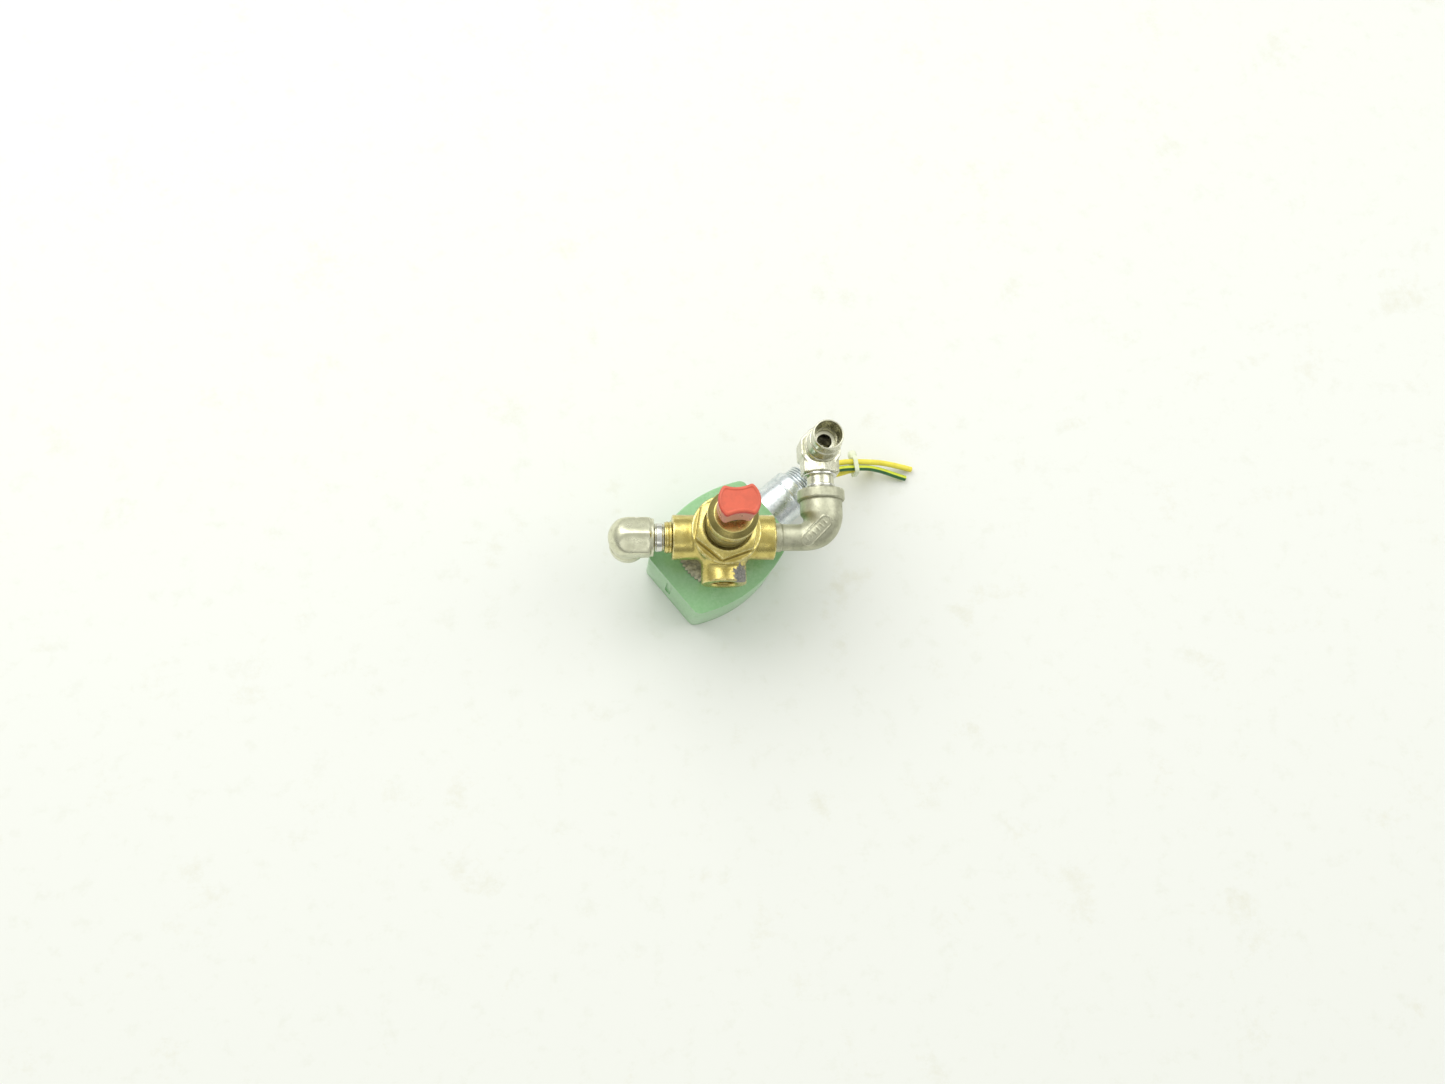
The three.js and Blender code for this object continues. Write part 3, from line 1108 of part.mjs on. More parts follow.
valve.add(
  mesh("serrated_washer", serratedWasher(), "washer"),
  mesh("core_sleeve", coreSleeve(), "steel"),
  mesh("fixed_core", fixedCore(), "steel"),
  mesh("moving_core", movingCore(), "steel"),
  mesh("core_spring", coreSpring(), "steel"),
  mesh("solenoid_base", solenoidBase(), "steel"),
  mesh("base_gasket", baseGasket(), "rubber"),
  mesh("valve_body", valveBody(), "brass"),
  mesh("lower_seat", lowerSeat(), "brass"),
  mesh("upper_seat", upperSeat(), "brass"),
  mesh("valve_stem", valveStem(), "steel"),
  mesh("lower_seal", sealDisc(DISC_BOTTOM), "rubber"),
  mesh("upper_seal", sealDisc(DISC_TOP - DISC_THICKNESS), "rubber"),
  mesh("return_spring", returnSpring(), "steel"),
  mesh("bonnet_gasket", bonnetGasket(), "rubber"),
  mesh("hex_bonnet", hexBonnet(), "brass"),
  mesh("turret", turret(), "brass"),
  mesh("turret_ring", turretRing(), "ring"),
  mesh("push_pin", pushPin(), "steel"),
  mesh("winged_knob", wingedKnob(), "red"),
  mesh("left_adaptor", leftAdaptor(), "brass"),
  mesh("left_nipple", leftNipple(), "chrome"),
  mesh("left_elbow", leftElbow(), "stainless"),
  mesh("street_elbow", streetElbow(), "casting"),
  mesh("tube_elbow", tubeElbow(), "chrome"),
  mesh("lead_yellow", leadWire(WIRE_ROUTES.lead_yellow), "yellow"),
  mesh("lead_green", leadWire(WIRE_ROUTES.lead_green), "striped"),
  mesh("lead_yellow_short", leadWire(WIRE_ROUTES.lead_yellow_short), "yellow"),
  mesh("cable_tie", cableTie(), "nylon"));

export default valve;
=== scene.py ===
"""Visual model of a three way solenoid valve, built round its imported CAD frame.

Shapes are worked out in millimetres and become metres when a mesh is made. +Z is the valve's
axis, +X the side of the street elbow and -Y the side of the open port.
"""
import math

import bmesh
import bpy
import numpy as np
from mathutils import Matrix, Vector


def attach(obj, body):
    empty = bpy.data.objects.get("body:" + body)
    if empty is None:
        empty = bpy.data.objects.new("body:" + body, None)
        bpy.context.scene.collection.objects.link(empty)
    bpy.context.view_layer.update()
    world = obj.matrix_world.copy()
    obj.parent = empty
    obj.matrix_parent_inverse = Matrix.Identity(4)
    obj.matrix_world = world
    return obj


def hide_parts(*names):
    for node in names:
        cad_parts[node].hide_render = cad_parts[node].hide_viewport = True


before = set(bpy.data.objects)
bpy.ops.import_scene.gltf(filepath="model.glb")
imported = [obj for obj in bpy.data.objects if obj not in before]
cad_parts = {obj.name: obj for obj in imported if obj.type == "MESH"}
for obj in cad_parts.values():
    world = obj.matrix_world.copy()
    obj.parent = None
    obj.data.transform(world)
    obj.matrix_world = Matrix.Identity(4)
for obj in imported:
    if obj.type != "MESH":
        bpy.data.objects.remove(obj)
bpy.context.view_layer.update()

MM = 0.001
TAU = 2 * math.pi
TURN_STEPS = 96
EASE = 0.25
NET_STEP = 0.4
SHARP_ANGLE = math.radians(38)

# Places and sizes taken over from the CAD model
HUB_BEARING = math.radians(39.5)
HOUSING_OFFSET = -0.6
HUB_AXIS = (0.0, HOUSING_OFFSET, 17.8)
END_SLOT_AT = 1.75
HOUSING_LENGTH = 58.4
HOUSING_END_WIDTH = 35.0
HOUSING_WALL = 3.0
SLEEVE_BORE = 6.3
WASHER_RADIUS = 20.2
WASHER_WORN_RADIUS = 15.2
WASHER_WHOLE_BEARING = math.radians(221)
BODY_FOOT = 41.5
BODY_TOP = 66.0
BARREL_RADIUS = 14.2
BOSS_RADIUS = 10.2
SIDE_REACH = 23.2
FRONT_REACH = 21.5
PORT_HEIGHT = 52.5
PORT_AT = (0, 0, PORT_HEIGHT)
BONNET_TOP = 76.2
BONNET_CORNER = 14.8
BONNET_FLANGE = 15.6
BONNET_BEARING = math.radians(80)
KNOB_TURN = math.radians(4.5)
KNOB_RADIUS = 8.7
KNOB_GRIP_RADIUS = 13.0
KNOB_GRIP_CENTRE = 18.3
KNOB_FOOT = 107.8
PLATE_FOOT = 119.5
PLATE_TOP = 122.9
LEFT_LEG = -42.7
RIGHT_LEG = 45.6
RIGHT_AT = (RIGHT_LEG, 0, PORT_HEIGHT)
BEND_START = 34.6
BEND_REACH = 11.0
TUBE_COLUMN = 41.5


def linked(name, data):
    item = bpy.data.objects.new(name, data)
    bpy.context.scene.collection.objects.link(item)
    return item


# --- Camera ---

def add_camera():
    data = bpy.data.cameras.new("camera")
    data.sensor_width = 36.0
    data.lens = 31.31
    data.clip_start = 0.01
    data.clip_end = 10.0
    camera = linked("camera", data)
    right = Vector((0.99505971, -0.02114626, 0.097))
    up = Vector((0.0, 0.9770522, 0.213))
    back = right.cross(up)
    turn = Matrix((right, up, back)).transposed().to_4x4()
    camera.matrix_world = Matrix.Translation((-0.05667, -0.12258, 0.60520)) @ turn
    bpy.context.scene.camera = camera


add_camera()


# --- Mesh making ---

def grid_faces(rows, columns, wrap_rows, wrap_columns=True):
    """Quads of a rows x columns lattice of vertices."""
    row = np.arange(rows if wrap_rows else rows - 1)
    column = np.arange(columns if wrap_columns else columns - 1)
    a, b = np.meshgrid(row, column, indexing="ij")
    a2, b2 = (a + 1) % rows, (b + 1) % columns
    quads = [a * columns + b, a * columns + b2, a2 * columns + b2, a2 * columns + b]
    return np.stack(quads, -1).reshape(-1, 4).tolist()


def eased(outline, radius, closed):
    """The outline with each corner rounded by up to that radius."""
    points = [np.array(p, float) for p in outline]
    result = []
    for i, p in enumerate(points):
        if not closed and i in (0, len(points) - 1):
            result.append(p)
            continue
        a, b = points[i - 1] - p, points[(i + 1) % len(points)] - p
        la, lb = np.linalg.norm(a), np.linalg.norm(b)
        cut = min(radius, 0.4 * la, 0.4 * lb)
        start, end = p + a / la * cut, p + b / lb * cut
        for t in (0.0, 0.33, 0.67, 1.0):
            result.append((1 - t) ** 2 * start + 2 * t * (1 - t) * p + t * t * end)
    return result


def triangle(phase):
    """A wave of period 1 that runs from 0 to 1 and back."""
    return 1 - np.abs(2 * (phase % 1) - 1)


def thread_rows(line, threads, closed):
    """Heights, radii and thread number of each row, with rows added where a thread runs."""
    rows = []
    for i, p in enumerate(line):
        rows.append((p[0], p[1], -1))
        if not closed and i == len(line) - 1:
            break
        q = line[(i + 1) % len(line)]
        for number, (low, high, pitch, _) in enumerate(threads):
            inside = min(p[1], q[1]) >= low - 0.5 and max(p[1], q[1]) <= high + 0.5
            if abs(p[0] - q[0]) < 1e-6 and inside and abs(p[1] - q[1]) > pitch:
                count = int(abs(p[1] - q[1]) / pitch * 8)
                for k in range(1, count):
                    rows.append((p[0], p[1] + (q[1] - p[1]) * k / count, number))
    return np.array(rows)


def turned(outline, steps=TURN_STEPS, ease=EASE, threads=(), flute=None):
    """A surface of revolution about Z from [radius, height] corners. An outline that starts and
    ends on the axis is a bar; any other is a ring. threads are (low, high, pitch, depth), and
    flute is (count, depth, least radius)."""
    closed = outline[0][0] > 0
    rows = thread_rows(eased(outline, ease, closed), threads, closed)
    if not closed:
        poles = [(0, 0, rows[0][1]), (0, 0, rows[-1][1])]
        rows = rows[1:-1]
    angle = np.arange(steps) * TAU / steps
    radius = np.repeat(rows[:, :1], steps, 1)
    height = np.repeat(rows[:, 1:2], steps, 1)
    for number, (low, high, pitch, depth) in enumerate(threads):
        fade = np.clip((height - low) / pitch, 0, 1) * np.clip((high - height) / pitch, 0, 1)
        wave = triangle(height / pitch - angle[None, :] / TAU)
        radius = radius + np.where(rows[:, 2:3] == number, depth * wave * fade, 0)
    if flute:
        count, depth, least = flute
        wave = triangle(angle[None, :] / TAU * count)
        radius = radius - np.where(radius > least, depth * wave, 0)
    vertices = np.stack([radius * np.cos(angle), radius * np.sin(angle), height], -1)
    vertices = vertices.reshape(-1, 3)
    faces = grid_faces(len(rows), steps, closed)
    if not closed:
        first, last, top = len(vertices), len(vertices) + 1, (len(rows) - 1) * steps
        vertices = np.vstack([vertices, poles])
        for k in range(steps):
            n = (k + 1) % steps
            faces.append([first, n, k])
            faces.append([last, top + k, top + n])
    return vertices, faces


def loft(sections):
    """A closed solid through rings of points with one count, each end closed by one face."""
    count = len(sections[0])
    vertices = np.vstack(sections)
    faces = grid_faces(len(sections), count, False)
    faces.append(list(range(count))[::-1])
    faces.append(list(range((len(sections) - 1) * count, len(sections) * count)))
    return vertices, faces


def surface_net(field, low, high, step=NET_STEP):
    """The closed quad mesh of the surface where field(x, y, z) is zero, inside below zero. Another
    lattice is taken where an edge would get more than two faces."""
    for attempt in range(8):
        points, quads = net_once(field, low, high, step * (1 + 0.013 * attempt))
        ends = np.sort(np.stack([quads, np.roll(quads, -1, 1)], -1).reshape(-1, 2), 1)
        uses = np.unique(ends, axis=0, return_counts=True)[1]
        if (uses == 2).all():
            break
    return points, quads.tolist()


def net_once(field, low, high, step):
    low = np.array(low, float)
    axes = [np.arange(low[i], high[i] + step, step) for i in range(3)]
    value = field(*np.meshgrid(*axes, indexing="ij"))
    inside = value < 0
    shape = np.array(value.shape) - 1
    corners = [np.array((i, j, k)) for i in (0, 1) for j in (0, 1) for k in (0, 1)]
    count = sum(
        inside[c[0]:c[0] + shape[0], c[1]:c[1] + shape[1], c[2]:c[2] + shape[2]].astype(np.int8)
        for c in corners)
    mixed = (count > 0) & (count < 8)
    cells = np.argwhere(mixed)
    number = np.full(mixed.shape, -1)
    number[mixed] = np.arange(len(cells))
    total = np.zeros((len(cells), 3))
    hits = np.zeros(len(cells))
    for a in corners:
        for b in corners:
            if (b - a).sum() != 1 or (b - a).min() < 0:
                continue
            va, vb = value[tuple((cells + a).T)], value[tuple((cells + b).T)]
            crossed = (va < 0) != (vb < 0)
            share = (va / np.where(crossed, va - vb, 1))[:, None]
            total += np.where(crossed[:, None], a + share * (b - a), 0)
            hits += crossed
    points = (cells + total / hits[:, None]) * step + low
    for _ in range(3):
        points = points + pull(field, points, step)
    faces = []
    for axis in range(3):
        u, v = (axis + 1) % 3, (axis + 2) % 3
        lower = tuple(slice(0, -1) if i == axis else slice(1, -1) for i in range(3))
        upper = tuple(slice(1, None) if i == axis else slice(1, -1) for i in range(3))
        for mask, order in ((inside[lower] & ~inside[upper], 1), (~inside[lower] & inside[upper], -1)):
            at = np.argwhere(mask)
            at[:, [u, v]] += 1
            quad = []
            for du, dv in ((-1, -1), (0, -1), (0, 0), (-1, 0)):
                cell = at.copy()
                cell[:, u] += du
                cell[:, v] += dv
                quad.append(number[tuple(cell.T)])
            faces.append(np.stack(quad[::order], -1))
    return points, np.vstack(faces)


def pull(field, points, step):
    """The move that takes each point onto the field's surface, by at most half a step."""
    probe = 0.02
    x, y, z = points.T
    value = field(x, y, z)
    slope = np.stack([
        field(x + probe, y, z) - field(x - probe, y, z),
        field(x, y + probe, z) - field(x, y - probe, z),
        field(x, y, z + probe) - field(x, y, z - probe),
    ], -1) / (2 * probe)
    move = -value[:, None] * slope / np.maximum((slope ** 2).sum(1), 0.2)[:, None]
    return np.clip(move, -step / 2, step / 2)


# --- Distance fields, joined and trimmed with rounded edges ---

def join(a, b, ease):
    blend = np.maximum(ease - np.abs(a - b), 0) / ease
    return np.minimum(a, b) - blend * blend * ease / 4


def trim(a, b, ease):
    return -join(-a, -b, ease)


def trims(ease, *fields):
    result = fields[0]
    for field in fields[1:]:
        result = trim(result, field, ease)
    return result


def between(value, low, high):
    return np.abs(value - (low + high) / 2) - (high - low) / 2


def along_and_across(x, y, bearing):
    c, s = math.cos(bearing), math.sin(bearing)
    return x * c + y * s, y * c - x * s


def rod_field(u, v, along, radius, low, high, ease=0.5):
    return trim(np.hypot(u, v) - radius, between(along, low, high), ease)


def prism_field(u, v, sides, corner, bearing=0.0, ease=0.6):
    reach = corner * math.cos(math.pi / sides)
    result = None
    for side in range(sides):
        angle = bearing + (side + 0.5) * TAU / sides
        flat = u * math.cos(angle) + v * math.sin(angle) - reach
        result = flat if result is None else trim(result, flat, ease)
    return result


def unevenness(x, y, z, size, height):
    """The slow swell of a cast or forged skin."""
    k = TAU / size
    swell = np.sin(k * x + 1.3 * np.sin(0.7 * k * y)) * np.sin(k * y + 0.9 * np.sin(0.8 * k * z + 1))
    return height * (swell * np.sin(0.9 * k * z + 0.6 + 0.8 * np.sin(0.6 * k * x)))


# --- Placing ---

# Turns that take +Z towards another axis, for points in rows
TOWARDS_X = np.array([(0, 0, -1), (0, 1, 0), (1, 0, 0)])
TOWARDS_MINUS_X = np.array([(0, 0, 1), (0, 1, 0), (-1, 0, 0)])
TOWARDS_Y = np.array([(1, 0, 0), (0, 0, -1), (0, 1, 0)])
TOWARDS_MINUS_Y = np.array([(1, 0, 0), (0, 0, 1), (0, -1, 0)])


def placed(solid, way=np.eye(3), at=(0, 0, 0)):
    points, faces = solid
    return np.asarray(points, float) @ way + np.array(at, float), faces


def swivelled(solid, angle=HUB_BEARING):
    """The solid turned about the valve's axis, from the housing's own frame."""
    points, faces = solid
    c, s = math.cos(angle), math.sin(angle)
    x, y, z = np.asarray(points, float).T
    return np.stack([c * x - s * y, s * x + c * y, z], -1), faces


def rod(radius, low, high, steps=TURN_STEPS, ease=0.0):
    return turned([(0, low), (radius, low), (radius, high), (0, high)], steps, ease)


def ring(inner, outer, low, high, ease=0.15):
    return turned([(inner, low), (outer, low), (outer, high), (inner, high)], ease=ease)


# --- Pieces ---

def new_object(name, solid):
    points, faces = solid
    mesh = bpy.data.meshes.new(name)
    mesh.from_pydata((np.asarray(points) * MM).tolist(), [], faces)
    made = bmesh.new()
    made.from_mesh(mesh)
    bmesh.ops.remove_doubles(made, verts=made.verts, dist=1e-7)
    bmesh.ops.recalc_face_normals(made, faces=made.faces)
    made.to_mesh(mesh)
    made.free()
    return linked(name, mesh)


def carve(item, cutters):
    """The object with solids cut from it."""
    for number, solid in enumerate(cutters):
        cutter = new_object(f"cutter_{number}", solid)
        step = item.modifiers.new("cut", "BOOLEAN")
        step.operation = "DIFFERENCE"
        step.solver = "MANIFOLD"
        step.object = cutter
        bpy.context.view_layer.update()
        graph = bpy.context.evaluated_depsgraph_get()
        shaped = bpy.data.meshes.new_from_object(item.evaluated_get(graph))
        item.modifiers.clear()
        item.data = shaped
        bpy.data.objects.remove(cutter)
    made = bmesh.new()
    made.from_mesh(item.data)
    bmesh.ops.dissolve_degenerate(made, edges=made.edges, dist=2e-6)
    bmesh.ops.recalc_face_normals(made, faces=made.faces)
    made.to_mesh(item.data)
    made.free()
    return item


def piece(name, solid, finish, body, nodes=(), cutters=(), sharp=SHARP_ANGLE):
    """A visible piece with its finish, riding on a body in place of its CAD nodes."""
    item = new_object(name, solid)
    if cutters:
        carve(item, cutters)
    item.data.materials.clear()
    item.data.materials.append(MATERIALS[finish])
    item.data.polygons.foreach_set("use_smooth", [True] * len(item.data.polygons))
    item.data.set_sharp_from_angle(angle=sharp)
    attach(item, body)
    if nodes:
        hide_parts(*nodes)
    return item


# --- Materials ---

def node(tree, kind, inputs=None, **settings):
    made = tree.nodes.new(kind)
    for key, value in settings.items():
        setattr(made, key, value)
    for key, value in (inputs or {}).items():
        if isinstance(value, bpy.types.NodeSocket):
            tree.links.new(value, made.inputs[key])
        else:
            made.inputs[key].default_value = value
    return made


def place(tree, stretch=(1, 1, 1)):
    """Object coordinates in millimetres, stretched."""
    coordinate = node(tree, "ShaderNodeTexCoord")
    scale = tuple(s / MM for s in stretch)
    mapping = node(tree, "ShaderNodeMapping", {"Vector": coordinate.outputs["Object"], "Scale": scale})
    return mapping.outputs["Vector"]


def noise(tree, vector, scale, detail=4.0, rough=0.55):
    inputs = {"Vector": vector, "Scale": scale, "Detail": detail, "Roughness": rough}
    return node(tree, "ShaderNodeTexNoise", inputs).outputs["Fac"]


def spread(tree, value, low, high, to_low=0.0, to_high=1.0, smooth=False):
    kind = "SMOOTHSTEP" if smooth else "LINEAR"
    inputs = {"Value": value, "From Min": low, "From Max": high, "To Min": to_low, "To Max": to_high}
    return node(tree, "ShaderNodeMapRange", inputs, interpolation_type=kind).outputs["Result"]


def blend(tree, share, a, b, kind="MIX"):
    a, b = (v if isinstance(v, bpy.types.NodeSocket) else (*v, 1.0) for v in (a, b))
    inputs = {0: share, 6: a, 7: b}
    return node(tree, "ShaderNodeMix", inputs, data_type="RGBA", blend_type=kind).outputs[2]


def maths(tree, operation, a, b=0.0):
    return node(tree, "ShaderNodeMath", {0: a, 1: b}, operation=operation).outputs[0]


def vectors(tree, operation, a, b=(0, 0, 0)):
    return node(tree, "ShaderNodeVectorMath", {0: a, 1: b}, operation=operation).outputs


def edges(tree):
    """Nearly 1 on outer edges, 0 elsewhere."""
    return spread(tree, node(tree, "ShaderNodeNewGeometry").outputs["Pointiness"], 0.5, 0.56)


def hollows(tree):
    """Nearly 1 in inner corners, 0 elsewhere; used to paint shade into inner corners."""
    return spread(tree, node(tree, "ShaderNodeNewGeometry").outputs["Pointiness"], 0.495, 0.44)


def bump(tree, height, strength, distance, normal=None):
    inputs = {"Height": height, "Strength": strength, "Distance": distance * MM}
    if normal:
        inputs["Normal"] = normal
    return node(tree, "ShaderNodeBump", inputs).outputs["Normal"]


def turning_marks(tree, axis, centre, fineness=9.0):
    """Fine rings left by a lathe, along the axis and across the faces that square it off."""
    offset = vectors(tree, "SUBTRACT", place(tree), centre)[0]
    across = tuple(0.0 if i == axis else 1.0 for i in range(3))
    along = tuple(1.0 if i == axis else 0.0 for i in range(3))
    radius = vectors(tree, "LENGTH", vectors(tree, "MULTIPLY", offset, across)[0])["Value"]
    depth = vectors(tree, "DOT_PRODUCT", offset, along)["Value"]
    both = node(tree, "ShaderNodeCombineXYZ", {"X": radius, "Y": depth}).outputs[0]
    wander = vectors(tree, "MULTIPLY", offset, (0.02, 0.02, 0.02))[0]
    return noise(tree, vectors(tree, "ADD", both, wander)[0], fineness, 2.0, 0.6)


def surface(name, bright, dull, roughness, metallic=0.0, blotch=0.18, grain=2.2, grain_bump=0.08,
            swell=0.0, worn=None, grime_and_hollow_shade=None, marks=None, coat=0.0, sheen=0.0):
    """A finish that varies between two colours and two roughnesses, with grain, worn edges, dirt specks and
    painted shade in inner corners.
    """
    made = bpy.data.materials.new(name)
    made.use_nodes = True
    tree = made.node_tree
    shader = tree.nodes["Principled BSDF"]
    vector = place(tree)
    large = noise(tree, vector, blotch, 5.0, 0.62)
    fine = noise(tree, vector, grain, 4.0, 0.6)
    colour = blend(tree, spread(tree, large, 0.36, 0.66, smooth=True), bright, dull)
    colour = blend(tree, spread(tree, fine, 0.3, 0.8, 0.0, 0.35), colour, dull)
    rough = spread(tree, large, 0.35, 0.68, *roughness)
    if marks:
        lines = turning_marks(tree, *marks)
        rough = maths(tree, "ADD", rough, spread(tree, lines, 0.3, 0.7, -0.05, 0.07))
    if grime_and_hollow_shade:
        # Noise specks of dirt, plus painted shade in inner corners from the hollows mask, both blended
        # towards the given dark colour
        speck = spread(tree, noise(tree, vector, 0.55, 6.0, 0.7), 0.52, 0.68)
        dirt_and_shade = maths(tree, "ADD", hollows(tree), maths(tree, "MULTIPLY", speck, 0.35))
        share = maths(tree, "MINIMUM", dirt_and_shade, 0.8)
        colour = blend(tree, share, colour, grime_and_hollow_shade)
        rough = maths(tree, "ADD", rough, maths(tree, "MULTIPLY", share, 0.25))
    if worn:
        rub = maths(tree, "MULTIPLY", edges(tree), spread(tree, noise(tree, vector, 0.8), 0.4, 0.6))
        colour = blend(tree, rub, colour, worn)
    tree.links.new(colour, shader.inputs["Base Color"])
    tree.links.new(rough, shader.inputs["Roughness"])
    for socket, value in (("Metallic", metallic), ("Coat Weight", coat), ("Coat Roughness", 0.12),
                          ("Coat IOR", 1.6), ("Sheen Weight", sheen)):
        shader.inputs[socket].default_value = value
    normal = bump(tree, fine, 0.6, grain_bump)
    if swell:
        normal = bump(tree, large, 0.8, swell, normal)
    if marks:
        normal = bump(tree, lines, 0.5, 0.03, normal)
    tree.links.new(normal, shader.inputs["Normal"])
    return made


def spot_mask(tree, centre, radius, ragged):
    """1 inside a ragged round patch about a point, 0 outside."""
    vector = place(tree)
    distance = vectors(tree, "DISTANCE", vector, centre)["Value"]
    wobble = spread(tree, noise(tree, vector, 0.5, 6.0, 0.7), 0.3, 0.7, -ragged, ragged)
    edge = maths(tree, "ADD", distance, wobble)
    return spread(tree, edge, radius + 0.4, radius - 0.4)


def cast_brass():
    """Cast and machined brass with a smear of grey sealant at the open port."""
    made = surface("cast_brass", (0.70, 0.59, 0.20), (0.52, 0.42, 0.12), (0.20, 0.32), 1.0,
                   blotch=0.16, grain=2.6, grain_bump=0.05, swell=0.12,
                   worn=(0.90, 0.82, 0.45), grime_and_hollow_shade=(0.30, 0.23, 0.08))
    tree = made.node_tree
    shader = tree.nodes["Principled BSDF"]
    mask = spot_mask(tree, (7.6, -18.6, 60.4), 4.6, 2.2)
    smear = spread(tree, noise(tree, place(tree), 1.3, 5.0, 0.7), 0.35, 0.65)
    grey = blend(tree, smear, (0.12, 0.12, 0.11), (0.34, 0.33, 0.30))
    colour = shader.inputs["Base Color"].links[0].from_socket
    rough = shader.inputs["Roughness"].links[0].from_socket
    tree.links.new(blend(tree, mask, colour, grey), shader.inputs["Base Color"])
    tree.links.new(spread(tree, mask, 0, 1, 1, 0.25), shader.inputs["Metallic"])
    tree.links.new(maths(tree, "ADD", rough, maths(tree, "MULTIPLY", mask, 0.3)), shader.inputs["Roughness"])
    return made


def see_through(name, colour, rough, through):
    """Tinted clear plastic with a moulded skin."""
    made = surface(name, colour, tuple(0.86 * c for c in colour), (rough, rough + 0.12),
                   blotch=0.25, grain=3.0, grain_bump=0.02)
    shader = made.node_tree.nodes["Principled BSDF"]
    shader.inputs["Transmission Weight"].default_value = through
    shader.inputs["IOR"].default_value = 1.45
    return made


MATERIALS = {
    "green": surface("green_enamel", (0.250, 0.508, 0.232), (0.232, 0.480, 0.215), (0.28, 0.36),
                     blotch=0.05, grain=1.6, grain_bump=0.012, swell=0.02,
                     worn=(0.36, 0.60, 0.33), coat=0.55),
    "steel": surface("dull_steel", (0.52, 0.52, 0.50), (0.34, 0.34, 0.32), (0.3, 0.5), 1.0,
                     marks=(2, (0, 0, 0)), grime_and_hollow_shade=(0.08, 0.07, 0.05)),
    "zinc": surface("zinc_plate", (0.80, 0.84, 0.84), (0.60, 0.66, 0.68), (0.22, 0.40), 1.0,
                    blotch=0.35, grain=3.0, grain_bump=0.04, swell=0.12,
                    worn=(0.95, 0.96, 0.95), grime_and_hollow_shade=(0.20, 0.22, 0.22)),
    "rubber": surface("black_rubber", (0.03, 0.03, 0.03), (0.055, 0.052, 0.048), (0.6, 0.8),
                      grain=3.0, grain_bump=0.05),
    "washer": surface("washer_steel", (0.62, 0.62, 0.50), (0.32, 0.32, 0.25), (0.42, 0.62), 0.8,
                      blotch=0.4, grain=2.4, grain_bump=0.10, grime_and_hollow_shade=(0.06, 0.05, 0.04)),
    "brass": cast_brass(),
    "turned_brass": surface("turned_brass", (0.72, 0.60, 0.21), (0.56, 0.45, 0.13), (0.16, 0.28), 1.0,
                            blotch=0.15, grain=2.4, grain_bump=0.02, swell=0.05, marks=(2, (0, 0, 0)),
                            worn=(0.92, 0.84, 0.48), grime_and_hollow_shade=(0.28, 0.21, 0.08)),
    # A darker, slightly rougher copy of turned brass: painted shade for the turret's top bevel and lower
    # band
    "shaded_brass": surface("dull_turned_brass_painted_shade", (0.40, 0.34, 0.12), (0.26, 0.22, 0.075), (0.24, 0.36), 1.0,
                          blotch=0.2, grain=2.4, grain_bump=0.02, marks=(2, (0, 0, 0)),
                          grime_and_hollow_shade=(0.12, 0.10, 0.04)),
    "ring": surface("ring_rubber", (0.14, 0.16, 0.10), (0.09, 0.10, 0.06), (0.5, 0.7), grain=3.0),
    "chrome": surface("bright_chrome", (0.78, 0.78, 0.73), (0.66, 0.66, 0.60), (0.07, 0.18), 1.0,
                      grain_bump=0.02, marks=(0, (0, 0, PORT_HEIGHT)), grime_and_hollow_shade=(0.20, 0.18, 0.12)),
    "stainless": surface("satin_stainless", (0.76, 0.76, 0.57), (0.62, 0.62, 0.45), (0.26, 0.36), 1.0,
                         blotch=0.2, grain=2.6, grain_bump=0.03, swell=0.06,
                         worn=(0.86, 0.85, 0.72), grime_and_hollow_shade=(0.26, 0.25, 0.18)),
    "casting": surface("cast_stainless", (0.56, 0.56, 0.42), (0.44, 0.44, 0.32), (0.38, 0.50), 1.0,
                       blotch=0.16, grain=3.4, grain_bump=0.10, swell=0.06,
                       worn=(0.70, 0.70, 0.56), grime_and_hollow_shade=(0.20, 0.19, 0.13)),
    "bright": surface("bright_stainless", (0.72, 0.71, 0.56), (0.58, 0.57, 0.43), (0.14, 0.26), 1.0,
                      blotch=0.2, grain=2.6, grain_bump=0.02, swell=0.06,
                      marks=(2, (RIGHT_LEG, TUBE_COLUMN, 0)),
                      worn=(0.90, 0.90, 0.80), grime_and_hollow_shade=(0.15, 0.14, 0.10)),
    "red": see_through("red_plastic", (0.78, 0.15, 0.085), 0.30, 0.08),
    # A deeper copy of the red plastic for the knob's steep faces: painted shade
    "red_shaded_sides": see_through("red_plastic_sides_painted_shade", (0.66, 0.035, 0.018), 0.28, 0.08),
    "skirt": see_through("red_clear_plastic", (0.88, 0.38, 0.27), 0.25, 0.42),
    "yellow": surface("yellow_insulation", (0.86, 0.77, 0.085), (0.78, 0.67, 0.06), (0.38, 0.5),
                      blotch=0.2, grain=2.0, grain_bump=0.03, grime_and_hollow_shade=(0.58, 0.45, 0.06)),
    "stripe_yellow": surface("stripe_yellow", (0.68, 0.76, 0.04), (0.60, 0.66, 0.04), (0.38, 0.5),
                             grain=2.0, grain_bump=0.03),
    "stripe_green": surface("stripe_green", (0.03, 0.15, 0.045), (0.02, 0.11, 0.03), (0.38, 0.5),
                            grain=2.0, grain_bump=0.03),
    "copper": surface("copper", (0.72, 0.36, 0.20), (0.50, 0.22, 0.11), (0.3, 0.45), 1.0),
    "nylon": surface("clear_nylon", (0.76, 0.80, 0.60), (0.66, 0.70, 0.50), (0.32, 0.48), sheen=0.1),
}


# --- Lead wires: the CAD routes again, and what shows at their cut ends ---

